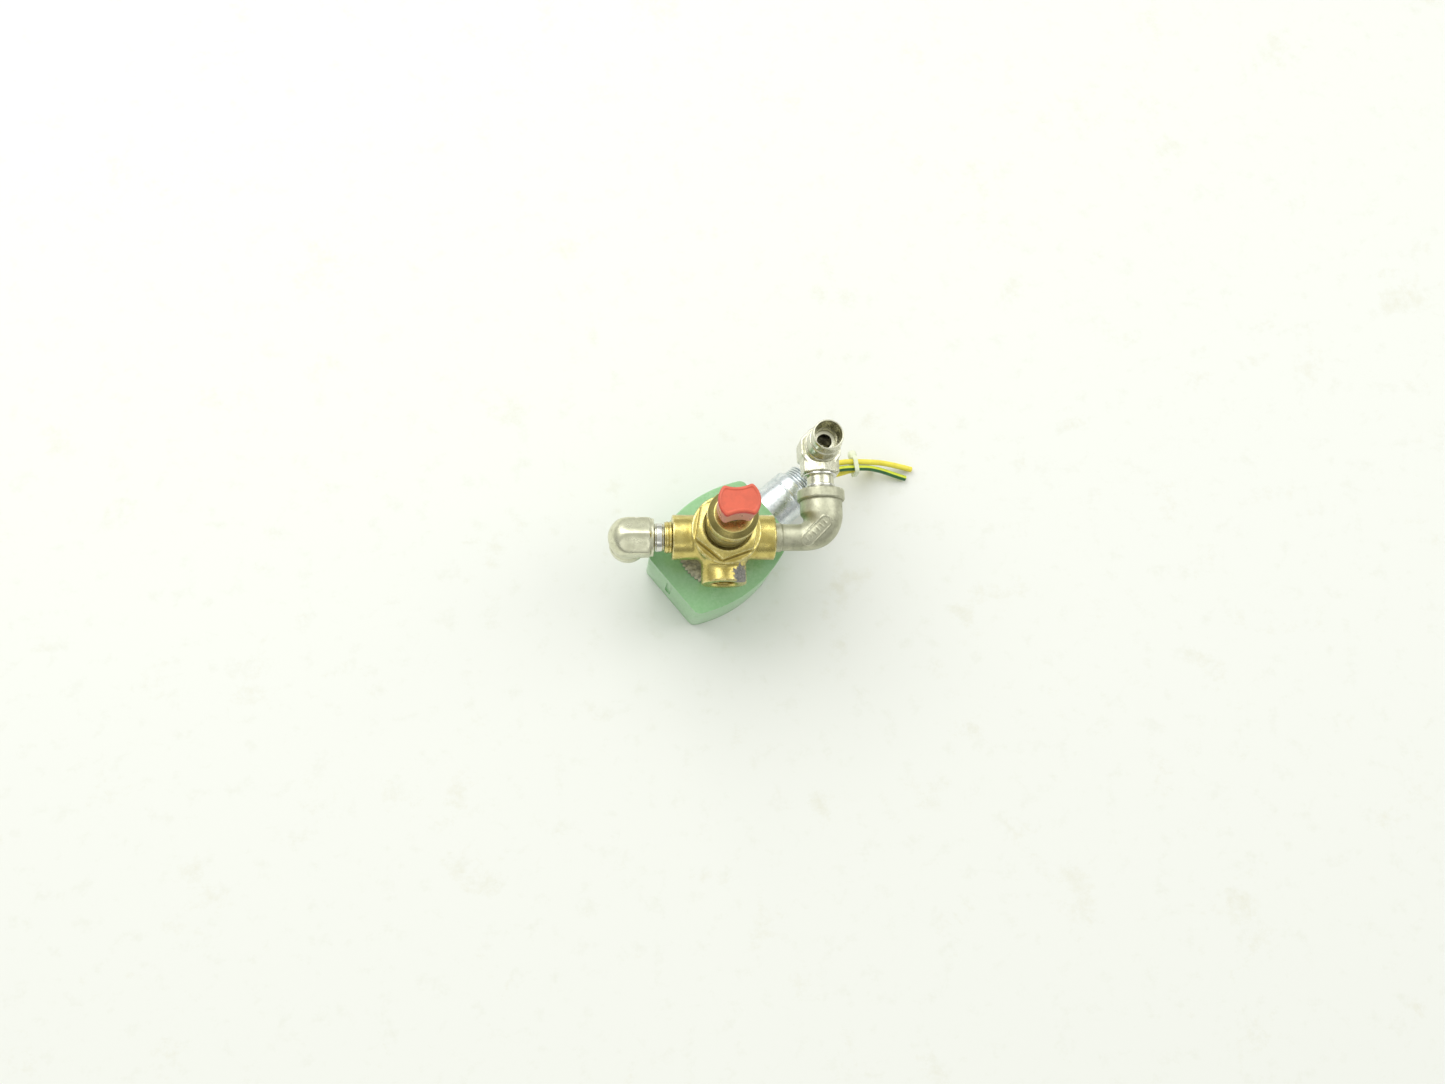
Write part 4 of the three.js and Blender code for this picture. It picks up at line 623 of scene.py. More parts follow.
WIRE_RADIUS = 1.4
WIRE_ROUTES = {
    "lead_yellow": [
        (26.4, 23.1, 18.9), (31.0, 26.9, 18.9), (35.6, 30.7, 18.9), (40.3, 34.6, 18.8),
        (44.3, 37.8, 18.7), (49.4, 41.2, 18.5), (55.0, 43.8, 17.8), (61.0, 45.4, 16.8),
        (66.0, 46.4, 15.7), (70.6, 46.9, 14.3), (75.5, 47.4, 12.5), (80.0, 47.8, 10.6),
        (84.6, 48.1, 8.5), (90.0, 48.0, 6.1), (95.8, 47.6, 3.5), (99.0, 47.2, 2.3),
        (102.0, 46.7, 1.5),
    ],
    "lead_green": [
        (28.4, 20.6, 19.2), (33.0, 24.4, 19.2), (37.6, 28.2, 19.2), (42.3, 32.1, 19.1),
        (46.1, 35.3, 18.9), (51.0, 38.6, 18.4), (56.0, 40.9, 17.6), (61.0, 42.3, 16.6),
        (66.0, 43.3, 15.5), (70.5, 43.8, 14.2), (75.0, 44.4, 12.2), (79.0, 44.8, 10.2),
        (83.5, 44.7, 7.7), (87.7, 44.3, 5.4), (93.0, 43.3, 3.1), (98.7, 42.0, 1.5),
    ],
    "lead_yellow_short": [
        (27.4, 21.5, 15.2), (32.1, 25.3, 15.2), (36.7, 29.1, 15.1), (41.4, 33.0, 14.9),
        (45.2, 35.7, 14.6), (49.5, 37.4, 14.4), (54.0, 38.9, 14.1), (58.5, 40.0, 13.6),
        (62.5, 41.2, 12.8), (66.0, 42.4, 11.9), (70.0, 43.9, 10.7), (73.5, 45.2, 8.7),
        (76.3, 46.1, 6.2), (78.8, 46.7, 3.7), (81.6, 47.1, 1.5),
    ],
}


def smooth_route(route, per_span=8):
    """A centripetal Catmull-Rom curve through the route's points."""
    given = [np.array(p) for p in route]
    points = [2 * given[0] - given[1], *given, 2 * given[-1] - given[-2]]
    result = []
    for i in range(1, len(points) - 2):
        p = points[i - 1:i + 3]
        t = [0.0]
        for a, b in zip(p, p[1:]):
            t.append(t[-1] + math.sqrt(np.linalg.norm(b - a)))
        for k in range(per_span):
            at = t[1] + (t[2] - t[1]) * k / per_span
            one = [((t[j + 1] - at) * p[j] + (at - t[j]) * p[j + 1]) / (t[j + 1] - t[j]) for j in range(3)]
            two = [((t[j + 2] - at) * one[j] + (at - t[j]) * one[j + 1]) / (t[j + 2] - t[j])
                   for j in range(2)]
            result.append(((t[2] - at) * two[0] + (at - t[1]) * two[1]) / (t[2] - t[1]))
    result.append(given[-1])
    return np.array(result)


def carried_frames(path):
    """A tangent and two normals at each point, carried along without twist, one kept upward."""
    tangents = np.gradient(path, axis=0)
    tangents /= np.linalg.norm(tangents, axis=1)[:, None]
    up = np.array((0.0, 0.0, 1.0))
    tops = up - (tangents @ up)[:, None] * tangents
    tops /= np.linalg.norm(tops, axis=1)[:, None]
    return tangents, tops, np.cross(tangents, tops)


def swept(path, radii, sides=24):
    """A closed round bar along a path. radii are (index, radius) rings in order along it."""
    _, tops, sides_way = carried_frames(path)
    angle = np.arange(sides) * TAU / sides
    rings = []
    for index, radius in radii:
        spoke = np.cos(angle)[:, None] * tops[index] + np.sin(angle)[:, None] * sides_way[index]
        rings.append(path[index] + radius * spoke)
    return loft(rings)


def lead(name, finish, stripe=None, carried=()):
    path = smooth_route(WIRE_ROUTES[name])
    last = len(path) - 1
    core = 0.62 * WIRE_RADIUS
    rings = [(0, WIRE_RADIUS - 0.12)]
    rings += [(i, WIRE_RADIUS) for i in range(1, last)]
    rings += [(last, WIRE_RADIUS), (last, WIRE_RADIUS - 0.1), (last, core), (last - 1, core - 0.02)]
    item = piece(name + "_insulation", swept(path, rings), finish, "solenoid", [name])
    if stripe:
        item.data.materials.append(MATERIALS[stripe])
        _, tops, ways = carried_frames(path)
        for face in item.data.polygons:
            centre = np.array(face.center) / MM
            nearest = np.argmin(((path - centre) ** 2).sum(1))
            offset = centre - path[nearest]
            tilt = math.atan2(offset @ ways[nearest], offset @ tops[nearest])
            if abs(tilt + 0.25) < 0.62 or abs(abs(tilt + 0.25) - math.pi) < 0.62:
                face.material_index = 1
    strands = conductor(name, path)
    return item


def conductor(name, path):
    """Seven copper strands just inside the cut end."""
    tangents, tops, ways = carried_frames(path)
    end, top, way, along = path[-1], tops[-1], ways[-1], tangents[-1]
    strands = []
    for number in range(7):
        angle = number * TAU / 6
        reach = 0.0 if number == 6 else 0.48
        centre = end + reach * (math.cos(angle) * top + math.sin(angle) * way)
        spin = np.arange(10) * TAU / 10
        spokes = np.cos(spin)[:, None] * top + np.sin(spin)[:, None] * way
        rings = [centre + depth * along + radius * spokes
                 for depth, radius in ((-0.75, 0.22), (-0.12, 0.22), (-0.04, 0.16))]
        strands.append(piece(f"{name}_strand_{number}", loft(rings), "copper", "solenoid"))
    return strands


# --- Cable tie ---

TIE_AT = (70.5, 45.1, 12.3)
TIE_HEADING = math.radians(8)


def cable_tie():
    """A strap round the three leads, with its locking head."""
    half_span, half_height, strap, width, head = 3.6, 4.3, 1.0, 2.2, 4.6

    def field(along, across, z):
        strap_ring = trim(
            trim(np.abs(across) - half_span - strap, np.abs(z) - half_height - strap, 2.6),
            -trim(np.abs(across) - half_span, np.abs(z) - half_height, 1.6), 0.3)
        strap_ring = trim(strap_ring, np.abs(along) - width / 2, 0.3)
        lock = trims(2.2, np.abs(across - half_span - head / 2) - head / 2, np.abs(z) - head / 2,
                     np.abs(along) - head / 2)
        return join(strap_ring, lock, 0.5)

    reach = half_span + head + 0.6
    solid = surface_net(field, (-2.8, -5.6, -6.0), (2.8, reach, 6.0), 0.2)
    solid = swivelled(solid, TIE_HEADING)
    return piece("cable_tie_strap", placed(solid, at=TIE_AT), "nylon", "solenoid",
                 ["cable_tie"])


# --- The cords ---

lead("lead_yellow", "yellow", carried=[cable_tie()])
lead("lead_green", "stripe_green", "stripe_yellow")
lead("lead_yellow_short", "yellow")


# --- Solenoid: housing, hub and washer ---

def quadratic(a, b, c, count):
    t = np.linspace(0, 1, count, endpoint=False)[:, None]
    a, b, c = (np.array(p, float) for p in (a, b, c))
    return (1 - t) ** 2 * a + 2 * t * (1 - t) * b + t * t * c


def housing_outline(length, end_width, bulge=7.6, corner=2.4):
    half, end = length / 2, end_width / 2
    side = end + 2 * bulge * corner / half
    pull_out = end + 2 * bulge - corner / 2
    a, b = half - corner, end - corner
    first_half = np.vstack([
        quadratic((half, b), (half, end), (a, side), 8),
        quadratic((a, side), (0, pull_out), (-a, side), 60),
        quadratic((-a, side), (-half, end), (-half, b), 8),
        quadratic((-half, b), (-half, 0), (-half, -b), 24),
    ])
    return np.vstack([first_half, -first_half])


def inset(outline, distance):
    before, after = np.roll(outline, 1, 0), np.roll(outline, -1, 0)
    way = after - before
    way /= np.linalg.norm(way, axis=1)[:, None]
    return outline + distance * np.stack([-way[:, 1], way[:, 0]], -1)


def at_height(outline, height):
    return np.column_stack([outline, np.full(len(outline), height)])


def housing():
    """The painted coil cover: rolled edges, a seam above the foot and a lip below the face."""
    outline = housing_outline(HOUSING_LENGTH, HOUSING_END_WIDTH)
    levels = [(0.7, 0.0), (0.3, 0.08), (0.08, 0.3), (0.0, 0.7), (0.0, 2.9), (0.3, 3.1), (0.3, 3.5),
              (0.05, 3.7), (0.05, 31.6), (0.14, 31.8), (0.14, 32.1), (0.0, 32.3), (0.0, 34.85),
              (0.05, 35.15), (0.17, 35.37), (0.34, 35.47), (0.52, 35.5)]
    shell = loft([at_height(inset(outline, depth), height) for depth, height in levels])
    inner = housing_outline(HOUSING_LENGTH - 2 * HOUSING_WALL, HOUSING_END_WIDTH - 2 * HOUSING_WALL)
    cavity = loft([at_height(inner, 6.5), at_height(inner, 32.5)])
    shift = (0, HOUSING_OFFSET, 0)
    hub_hole = placed(rod(9.1, 25.2, 31), TOWARDS_X, HUB_AXIS)
    cutters = [
        swivelled(placed(cavity, at=shift)),
        rod(SLEEVE_BORE, -1, 37),
        turned([(0, -1), (10.8, -1), (10.8, 0), (10.5, 0.3), (10.5, 3.5), (0, 3.5)], ease=0.0),
        swivelled(hub_hole),
        end_slot(),
    ]
    piece("coil_cover", swivelled(placed(shell, at=shift)), "green", "solenoid",
          ["coil_housing"], cutters, sharp=math.radians(30))


def end_slot():
    """The cutter for the shallow upright slot in the end wall away from the hub."""
    half, low, high = 1.8, 12.3, 27.7
    sections = []
    for reach, draw_in in ((30.2, 0.0), (28.75, 0.0), (28.45, 0.15), (28.3, 0.45)):
        radius = half - draw_in
        rise = np.linspace(0, math.pi, 24)
        top = np.stack([radius * np.cos(rise), high + radius * np.sin(rise)], -1)
        foot = np.stack([-radius * np.cos(rise), low - radius * np.sin(rise)], -1)
        outline = np.vstack([top, foot])
        sections.append(np.column_stack([np.full(len(outline), -reach), outline]))
    return swivelled(placed(loft(sections), at=(0, END_SLOT_AT + HOUSING_OFFSET, 0)))


def conduit_hub():
    hub = turned([
        (8.8, 23.3), (8.8, 30.6), (11.2, 30.6), (11.2, 43.6), (10.95, 43.9), (10.95, 44.5),
        (11.2, 44.8), (11.2, 49.6), (9.3, 50.6), (9.3, 57.0), (8.6, 57.6), (7.9, 57.6), (7.2, 56.9),
        (7.2, 23.3),
    ], 128, 0.3, threads=[(50.8, 57.4, 1.35, -0.75)])
    piece("hub_tube", swivelled(placed(hub, TOWARDS_X, HUB_AXIS)), "zinc", "solenoid",
          ["conduit_hub"])
    gasket = ring(9.1, 10.2, 29.5, 30.3)
    piece("hub_seal", swivelled(placed(gasket, TOWARDS_X, HUB_AXIS)), "rubber", "solenoid",
          ["hub_gasket"])


def washer():
    """A toothed disc, whole towards the front left and worn back on the rest."""
    section = [(SLEEVE_BORE, 35.8), (WASHER_RADIUS, 35.8), (WASHER_RADIUS, 37.2), (SLEEVE_BORE, 37.2)]
    points, faces = turned(section, 480, 0.15, flute=(60, 0.9, 19.5))
    radius = np.hypot(points[:, 0], points[:, 1])
    bearing = np.arctan2(points[:, 1], points[:, 0])
    away = np.abs((bearing - WASHER_WHOLE_BEARING + math.pi) % TAU - math.pi)
    beyond = np.clip((away - math.radians(28)) / math.radians(4), 0, 1)
    worn_off = beyond * np.maximum(radius - WASHER_WORN_RADIUS, 0)
    share = np.where(radius > 0, (radius - worn_off) / radius, 1)
    points = points * np.stack([share, share, np.ones(len(share))], -1)
    piece("toothed_washer", (points, faces), "washer", "valve", ["serrated_washer"],
          sharp=math.radians(25))


def base():
    def field(x, y, z):
        hexagon = trims(0.4, prism_field(x, y, 6, 14.0), between(z, 37.5, 40.2),
                        (np.hypot(x, y) - 13.4 + (z - 40.2)) / math.sqrt(2))
        return join(hexagon, rod_field(x, y, z, 7.7, 38.5, 45.6), 0.3)

    solid = surface_net(field, (-14.6, -14.6, 37), (14.6, 14.6, 46.2))
    bore = turned([(0, 36), (SLEEVE_BORE, 36), (SLEEVE_BORE, 44.0), (7.1, 44.0), (7.1, 47),
                   (0, 47)], ease=0.0)
    piece("hexagon_base", solid, "steel", "valve", ["solenoid_base"], [bore])
    gasket = ring(8.3, 12.7, 40.5, 41.2)
    piece("base_seal", gasket, "rubber", "valve", ["base_gasket"])


def underside():
    core = turned([(0, 0), (3.2, 0), (3.2, 2.15), (2.4, 2.15), (2.4, 3.5), (3.2, 3.5), (3.2, 3.8),
                   (5.05, 3.8), (5.05, 15.3), (0, 15.3)], 64)
    piece("core_end", core, "steel", "valve", ["fixed_core"])

    def field(x, y, z):
        radius = np.hypot(x, y)
        disc = trims(0.2, radius - 9.5, between(z, 2.45, 3.15), 2.7 - radius)
        u, v = along_and_across(x, y, HUB_BEARING)
        mouth = trim(np.abs(v) - 2.7, -u, 0.3)
        return trim(disc, -mouth, 0.4)

    solid = surface_net(field, (-10, -10, 2.2), (10, 10, 3.5), 0.2)
    piece("spring_clip", solid, "steel", "solenoid", ["retaining_clip"])


housing()
conduit_hub()
washer()
base()
underside()


# --- Valve body and bonnet ---

def body_field(x, y, z):
    port = z - PORT_HEIGHT
    radius = np.hypot(x, y)
    chamfer = (radius - 13.0 + BODY_FOOT - z) / math.sqrt(2)
    barrel = trims(0.8, radius - BARREL_RADIUS, between(z, BODY_FOOT, BODY_TOP), chamfer)
    cross = rod_field(y, port, x, BOSS_RADIUS, -SIDE_REACH, SIDE_REACH, 0.7)
    front = rod_field(x, port, y, BOSS_RADIUS, -FRONT_REACH, 0.0, 0.7)
    whole = join(join(barrel, cross, 2.2), front, 2.2)
    ends = np.minimum(np.minimum(SIDE_REACH - np.abs(x), FRONT_REACH + y), BODY_TOP - z)
    skin = np.clip(ends / 2.0, 0, 1)
    return trims(0.4, whole + unevenness(x, y, z, 7.5, 0.05) * skin, z - BODY_TOP, BODY_FOOT - z)


def port_cutter(reach, inner=12.0):
    return turned([(0, inner), (5.4, inner), (5.4, reach - 0.8), (6.3, reach + 0.02), (6.3, reach + 1),
                   (0, reach + 1)], 96, 0.05, threads=[(inner, reach - 0.7, 1.35, 0.55)])


def valve_body():
    solid = surface_net(body_field, (-24, -22.2, 41), (24, 15, 66.6))
    cutters = [
        turned([(0, 40), (8.0, 40), (8.0, 50.3), (7.2, 50.3), (7.2, 56.7), (8.0, 56.7), (8.0, 67),
                (0, 67)], ease=0.0),
        placed(port_cutter(SIDE_REACH), TOWARDS_X, PORT_AT),
        placed(port_cutter(SIDE_REACH), TOWARDS_MINUS_X, PORT_AT),
        placed(port_cutter(FRONT_REACH), TOWARDS_MINUS_Y, PORT_AT),
        placed(rod(3.2, 0, 13), TOWARDS_MINUS_Y, (0, 0, 53.5)),
    ]
    piece("body_casting", solid, "brass", "valve", ["valve_body"], cutters)
    gasket = ring(8.3, 13.9, 66.3, 67.0)
    piece("bonnet_seal", gasket, "rubber", "valve", ["bonnet_gasket"])


def bonnet_field(x, y, z):
    radius = np.hypot(x, y)
    hexagon = prism_field(x, y, 6, BONNET_CORNER, BONNET_BEARING, 0.5)
    cone = (radius - 11.6 + 2 * (z - BONNET_TOP)) / math.sqrt(5)
    block = trims(0.3, hexagon, cone, between(z, 68.5, BONNET_TOP))
    flange = trim(radius - BONNET_FLANGE, between(z, 67.3, 69.5), 0.8)
    spigot = rod_field(x, y, z, 7.7, 61.8, 68.5)
    whole = join(join(block, flange, 0.7), spigot, 0.3)
    return whole + unevenness(x, y, z, 6.5, 0.03) * np.clip((76.0 - z) / 2, 0, 1)


def bonnet():
    solid = surface_net(bonnet_field, (-16.6, -16.6, 61.2), (16.6, 16.6, 76.8))
    cutters = [turned([(0, 60), (5.2, 60), (5.2, 72.2), (10.8, 72.2), (10.8, 76.0), (11.0, 76.3),
                       (11.0, 78), (0, 78)], ease=0.0)]
    piece("bonnet_hexagon", solid, "brass", "valve", ["hex_bonnet"], cutters)


def turret():
    solid = turned([
        (3.5, 66.0), (4.9, 66.0), (4.9, 72.5), (9.8, 72.5), (9.8, 76.9), (9.5, 77.2), (9.5, 77.9),
        (9.8, 78.2), (9.8, 86.3), (9.55, 86.6), (9.55, 87.2), (9.8, 87.5), (9.8, 89.1), (7.8, 89.1),
        (7.8, 92.1), (10.8, 92.1), (10.8, 97.7), (8.2, 99.7), (3.5, 99.7), (3.15, 99.3), (3.15, 92.2),
        (1.8, 92.2), (1.8, 69.2), (3.5, 69.2),
    ], 128, 0.22)
    item = piece("turret_body", solid, "turned_brass", "valve", ["turret"])
    # The top bevel and the band from 72.4 to 92.3 take the darker brass as painted shade
    item.data.materials.append(MATERIALS["shaded_brass"])
    for face in item.data.polygons:
        x, y, z = np.array(face.center) / MM
        bevel = 97.8 < z < 99.6 and math.hypot(x, y) > 8.0
        face.material_index = int(bevel or 72.4 < z < 92.3)
    section = [(9.25 + 1.15 * math.cos(a), 90.6 + 1.15 * math.sin(a)) for a in np.arange(16) * TAU / 16]
    piece("turret_seal", turned(section, 96, 0.01), "ring", "valve", ["turret_ring"])


def pin():
    solid = turned([
        (0, 66.3), (1.5, 66.3), (1.5, 94.5), (2.9, 94.5), (2.9, 101.2), (2.2, 101.2), (2.2, 107.5),
        (1.5, 107.5), (1.5, 113.0), (0, 113.0),
    ], 64, 0.3)
    piece("pin_rod", solid, "steel", "pin", ["push_pin"])


valve_body()
bonnet()
turret()
pin()


# --- Winged knob ---

def grip_field(x, y, swell):
    """Outside two long shallow finger grips, each drawn in by that swell."""
    to_centre = np.minimum(np.hypot(x, y - KNOB_GRIP_CENTRE), np.hypot(x, y + KNOB_GRIP_CENTRE))
    return KNOB_GRIP_RADIUS + swell - to_centre


def knob_plate_field(x, y, z):
    outline = trim(np.hypot(x, y) - KNOB_RADIUS, grip_field(x, y, 0.0), 1.0)
    plate = trim(outline, between(z, PLATE_FOOT, PLATE_TOP), 1.3)
    dish = trim(outline + 1.35, PLATE_TOP - 0.32 - z, 0.3)
    return trim(plate, -dish, 0.35)


def knob_skirt_field(x, y, z):
    cone = np.hypot(x, y) - 8.0 - 0.03 * (z - KNOB_FOOT)
    outer = trim(cone, grip_field(x, y, 0.3), 1.0)
    shell = trim(outer, between(z, KNOB_FOOT, 119.4), 0.5)
    hollow = trim(outer + 1.3, z - 117.9, 0.4)
    boss = rod_field(x, y, z, 3.4, 107.6, 118.6, 0.4)
    bore = trim(np.hypot(x, y) - 1.8, z - 113.3, 0.3)
    return trim(join(trim(shell, -hollow, 0.3), boss, 0.4), -bore, 0.3)


def knob():
    plate = surface_net(knob_plate_field, (-9.4, -9.4, 119.0), (9.4, 9.4, 123.4), 0.2)
    item = piece("knob_plate", swivelled(plate, KNOB_TURN), "red", "knob", ["winged_knob"],
                 sharp=math.radians(50))
    # Faces steeper than the top dish take the deeper red: painted shade by facing, the top staying paler
    item.data.materials.append(MATERIALS["red_shaded_sides"])
    for face in item.data.polygons:
        face.material_index = int(face.normal.z < 0.55)
    skirt = surface_net(knob_skirt_field, (-8.9, -8.9, 107.0), (8.9, 8.9, 119.9), 0.25)
    piece("knob_skirt", swivelled(skirt, KNOB_TURN), "skirt", "knob")


knob()


# --- Left fittings ---

def left_fittings():
    adaptor = turned([
        (4.3, 15.2), (5.3, 15.2), (5.3, 23.5), (7.2, 23.5), (7.2, 24.3), (6.95, 24.45), (6.95, 24.75),
        (7.2, 24.9), (7.2, 25.7), (6.9, 25.9), (6.9, 26.6), (4.3, 26.6),
    ], 96, 0.18)
    piece("adaptor_rings", placed(adaptor, TOWARDS_MINUS_X, PORT_AT), "turned_brass", "valve",
          ["left_adaptor"])
    nipple = turned([
        (2.6, 18.2), (4.0, 18.2), (4.0, 26.9), (6.1, 26.9), (6.1, 27.4), (6.55, 27.7), (6.55, 30.2),
        (6.3, 30.5), (6.3, 31.0), (4.0, 31.0), (4.0, 36.0), (2.6, 36.0),
    ], 96, 0.2)
    piece("nipple_neck", placed(nipple, TOWARDS_MINUS_X, PORT_AT), "chrome", "valve",
          ["left_nipple"])


def left_elbow_field(x, y, z):
    port = z - PORT_HEIGHT
    u = -x
    forged = trims(0.7, prism_field(y, port, 6, 10.0, math.pi / 2, 0.3), between(u, 33.0, 53.0))
    bullet = np.sqrt(np.maximum(u - 41.9, 0) ** 2 * 0.95 + y ** 2 + port ** 2) - 9.75
    head = trim(forged, bullet, 0.9)
    collar = rod_field(y, port, u, 8.6, 31.3, 34.0, 0.7)
    leg = rod_field(u + LEFT_LEG, y, z, 8.2, 36.3, PORT_HEIGHT, 0.6)
    bead = rod_field(u + LEFT_LEG, y, z, 8.55, 36.0, 42.0, 0.6)
    whole = join(join(head, collar, 0.5), join(leg, bead, 0.3), 1.4)
    return whole + unevenness(x, y, z, 6.0, 0.02)


def left_elbow():
    solid = surface_net(left_elbow_field, (-54.2, -10.8, 35.2), (-30.6, 10.8, 63.4))
    drop = turned([(0, 35), (6.1, 35), (6.1, 36.02), (5.4, 36.7), (5.4, 48.0), (3.6, 48.0),
                   (3.6, 54.0), (0, 54.0)], 96, 0.05, threads=[(36.8, 47.8, 1.35, 0.5)])
    across = turned([(0, 30), (4.6, 30), (4.6, 31.3), (4.3, 31.6), (4.3, 36.6), (3.6, 36.6),
                     (3.6, 42.7), (0, 42.7)], 96, 0.0)
    cutters = [placed(drop, at=(LEFT_LEG, 0, 0)), placed(across, TOWARDS_MINUS_X, PORT_AT)]
    piece("left_elbow_forging", solid, "stainless", "valve", ["left_elbow"],
          cutters)


left_fittings()
left_elbow()


# --- Street elbow ---

def stadium(u, v, half_length, radius):
    return np.hypot(np.maximum(np.abs(u) - half_length, 0), v) - radius


def raised_mark(x, y):
    """Height of an oval cartouche, with plain bars in place of a legend, on the bend's top."""
    along, across = along_and_across(x - 41.8, y - 1.7, math.radians(44))
    rim = 0.30 - np.abs(stadium(along, across, 5.3, 2.75))
    result = np.clip(rim / 0.15, 0, 1) * 0.24
    bars = [(-5.4, 0.0), (-3.4, 0.35), (-1.3, -0.25), (0.9, 0.3), (3.1, -0.3), (5.2, 0.15)]
    for centre, lean in bars:
        slant = along - centre - lean * across * 0.35
        bar = np.minimum(0.32 - np.abs(slant), 1.35 - np.abs(across - 0.2 * lean))
        result = np.maximum(result, np.clip(bar / 0.15, 0, 1) * 0.2)
    return result


def street_field(x, y, z):
    port = z - PORT_HEIGHT
    u, v = x - BEND_START, BEND_REACH - y
    angle = np.clip(np.arctan2(u, np.maximum(v, 1e-6)), 0, math.pi / 2)
    share = angle / (math.pi / 2)
    wide = 6.1 + 3.6 * share * share * (3 - 2 * share)
    reach = BEND_REACH + 0.66 * np.sin(2 * angle) ** 2
    bend = np.hypot(np.hypot(u, v) - reach, port) - wide
    leg = np.hypot(y, port) - 6.1
    female = np.hypot(x - RIGHT_LEG, port) - 9.7
    pipe = np.where(y > BEND_REACH, female, np.where(x < BEND_START, leg, bend))
    pipe = trims(0.4, pipe, 24.0 - x, y - 19.0)
    collar = rod_field(y, port, x, 6.6, 23.5, 26.5, 0.5)
    band = rod_field(x - RIGHT_LEG, port, y, 10.9, 16.9, 21.9, 0.9)
    whole = join(join(pipe, collar, 0.4), band, 0.7)
    mark = np.where((port > 2) & (y < 14) & (x > 30), raised_mark(x, y), 0)
    return whole - mark + unevenness(x, y, z, 8.0, 0.03)


def street_elbow():
    solid = surface_net(street_field, (22.8, -10.6, 40.8), (57.2, 22.6, 64.2), 0.32)
    inlet = rod(3.6, 22, RIGHT_LEG, 64)
    outlet = turned([(0, -1.8), (3.6, -1.8), (3.6, 10.9), (6.9, 10.9), (6.9, 21.2), (7.6, 21.92),
                     (7.6, 23), (0, 23)], 96, 0.0)
    cutters = [placed(inlet, TOWARDS_X, PORT_AT), placed(outlet, TOWARDS_Y, RIGHT_AT)]
    piece("street_elbow_casting", solid, "casting", "valve", ["street_elbow"],
          cutters)
    shank = ring(3.6, 5.3, 15.2, 23.9, 0.2)
    piece("street_elbow_shank", placed(shank, TOWARDS_X, PORT_AT), "chrome", "valve")


street_elbow()


# --- Tube elbow ---

def tube_elbow_field(x, y, z):
    u = x - RIGHT_LEG
    port, column = z - PORT_HEIGHT, y - TUBE_COLUMN
    flat_up = math.pi / 8
    forging = trims(0.5, prism_field(u, port, 6, 9.6, math.pi / 2, 0.4), between(y, 29.6, TUBE_COLUMN))
    upright = trims(0.7, prism_field(u, column, 8, 10.0, flat_up, 0.6), between(z, 44.0, 58.0))
    nipple = rod_field(u, port, y, 6.15, 12.9, 31.0, 0.4)
    whole = join(join(forging, upright, 0.8), nipple, 0.4)
    return whole + unevenness(x, y, z, 6.0, 0.03)


def tube_elbow():
    solid = surface_net(tube_elbow_field, (35.0, 12.2, 42.0), (56.2, 52.2, 62.8), 0.34)
    column = (RIGHT_LEG, TUBE_COLUMN, 0)
    passage = rod(3.4, PORT_HEIGHT, 60, 64)
    across = placed(rod(3.4, 11.9, TUBE_COLUMN, 64), TOWARDS_Y, RIGHT_AT)
    piece("tube_elbow_forging", solid, "bright", "valve", ["tube_elbow"],
          [placed(passage, at=column), across])
    socket = turned([
        (3.4, 57.9), (6.9, 57.9), (6.9, 58.6), (8.3, 59.6), (8.3, 62.3), (7.9, 62.9), (7.6, 63.0),
        (7.6, 70.6), (7.35, 71.0), (7.0, 71.1), (7.0, 71.5), (7.15, 71.7), (7.15, 76.6), (7.0, 77.1),
        (6.75, 77.5), (6.35, 77.5), (6.2, 77.2), (5.0, 72.0), (5.0, 66.5), (3.4, 66.5),
    ], 128, 0.14)
    piece("tube_socket_barrel", placed(socket, at=column), "bright", "valve")
    rings = turned([
        (6.0, 22.2), (6.7, 22.2), (6.7, 22.9), (6.5, 23.05), (6.5, 23.3), (6.7, 23.45), (6.7, 24.3),
        (6.4, 24.5), (6.0, 24.5),
    ], 96, 0.08)
    piece("tube_nipple_rings", placed(rings, TOWARDS_Y, RIGHT_AT), "chrome", "valve")
    collar = turned([(6.0, 28.4), (7.3, 28.4), (7.6, 28.7), (7.6, 29.6), (6.0, 29.6)], 96, 0.15)
    piece("tube_nipple_collar", placed(collar, TOWARDS_Y, RIGHT_AT), "chrome", "valve")


tube_elbow()


# --- Inner CAD nodes that stay as they are ---

INNER_FINISHES = {
    "flux_yoke": "steel", "coil_bobbin": "nylon", "coil_winding": "copper", "hub_locknut": "steel",
    "core_sleeve": "steel", "moving_core": "steel", "core_spring": "steel", "lower_seat": "turned_brass",
    "upper_seat": "turned_brass", "valve_stem": "steel", "lower_seal": "rubber", "upper_seal": "rubber",
    "return_spring": "steel",
}
for node_name, finish in INNER_FINISHES.items():
    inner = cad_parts[node_name]
    inner.data.materials.clear()
    inner.data.materials.append(MATERIALS[finish])


# --- Floor, light and sky ---

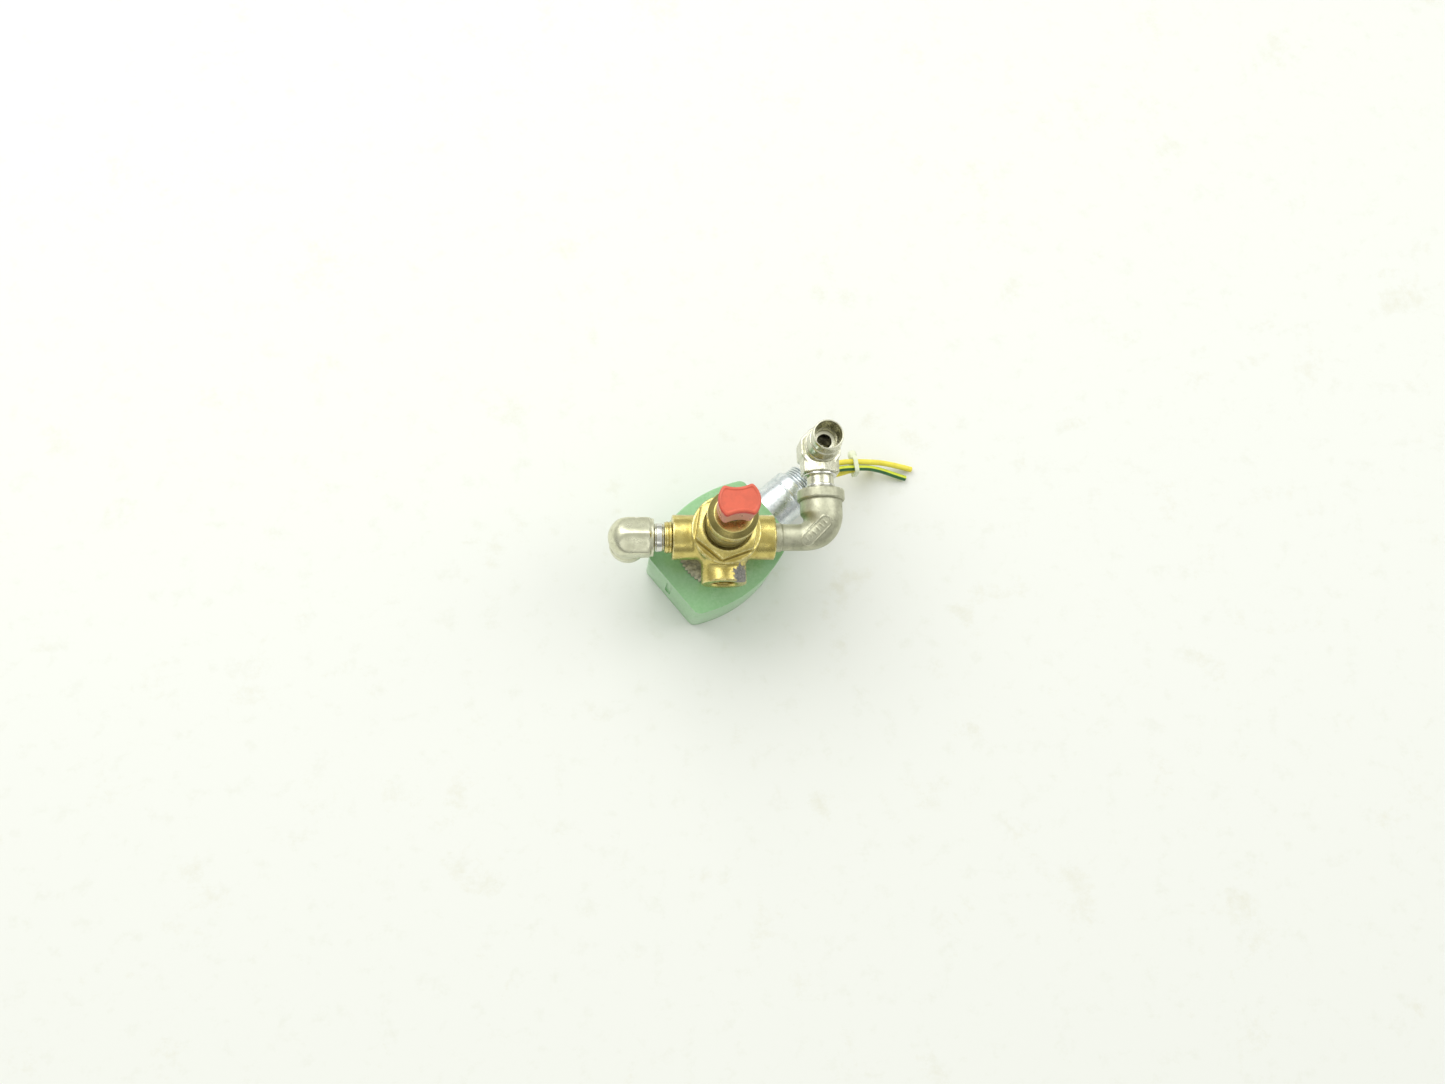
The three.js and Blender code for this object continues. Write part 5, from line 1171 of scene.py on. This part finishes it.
def floor():
    size = 3.0
    mesh = bpy.data.meshes.new("floor")
    corners = [(-size, -size, 0), (size, -size, 0), (size, size, 0), (-size, size, 0)]
    mesh.from_pydata(corners, [], [(0, 1, 2, 3)])
    item = linked("floor", mesh)
    item.location.z = -0.0002
    made = bpy.data.materials.new("floor_paper")
    made.use_nodes = True
    tree = made.node_tree
    shader = tree.nodes["Principled BSDF"]
    coordinate = node(tree, "ShaderNodeTexCoord").outputs["Object"]
    mottle = noise(tree, coordinate, 90.0, 6.0, 0.7)
    stain = noise(tree, coordinate, 22.0, 8.0, 0.75)
    colour = blend(tree, spread(tree, mottle, 0.55, 0.75), (0.79, 0.80, 0.755), (0.745, 0.755, 0.69))
    colour = blend(tree, spread(tree, stain, 0.58, 0.80), colour, (0.70, 0.69, 0.58))
    tree.links.new(colour, shader.inputs["Base Color"])
    shader.inputs["Roughness"].default_value = 0.8
    mesh.materials.append(made)


LIT_POINT = (0, 0, 0.05)


def area_light(name, place_at, size, power):
    data = bpy.data.lights.new(name, "AREA")
    data.shape = "RECTANGLE"
    data.size, data.size_y = size
    data.energy = power
    item = linked(name, data)
    item.location = place_at
    way = Vector(LIT_POINT) - Vector(place_at)
    item.rotation_mode = "QUATERNION"
    item.rotation_quaternion = way.to_track_quat("-Z", "Y")


def sky():
    world = bpy.data.worlds.new("studio")
    world.use_nodes = True
    bpy.context.scene.world = world
    tree = world.node_tree
    coordinate = node(tree, "ShaderNodeTexCoord").outputs["Generated"]
    split = node(tree, "ShaderNodeSeparateXYZ", {0: coordinate})
    share = spread(tree, split.outputs["Z"], 0.0, 0.75, smooth=True)
    colour = blend(tree, share, (0.47, 0.48, 0.46), (0.92, 0.93, 0.89))
    behind = spread(tree, split.outputs["Y"], -0.7, 0.5, 0.66, 1.10, smooth=True)
    colour = blend(tree, 1.0, colour, behind, "MULTIPLY")
    background = tree.nodes["Background"]
    tree.links.new(colour, background.inputs["Color"])
    background.inputs["Strength"].default_value = 1.0


floor()
sky()
area_light("key", (-0.5, 0.7, 1.0), (1.3, 1.0), 9.5)
area_light("fill", (0.9, 0.2, 0.9), (0.7, 1.0), 3.0)
area_light("front", (-0.3, -1.1, 0.9), (0.9, 0.4), 1.0)
bpy.context.scene.view_settings.view_transform = "Standard"
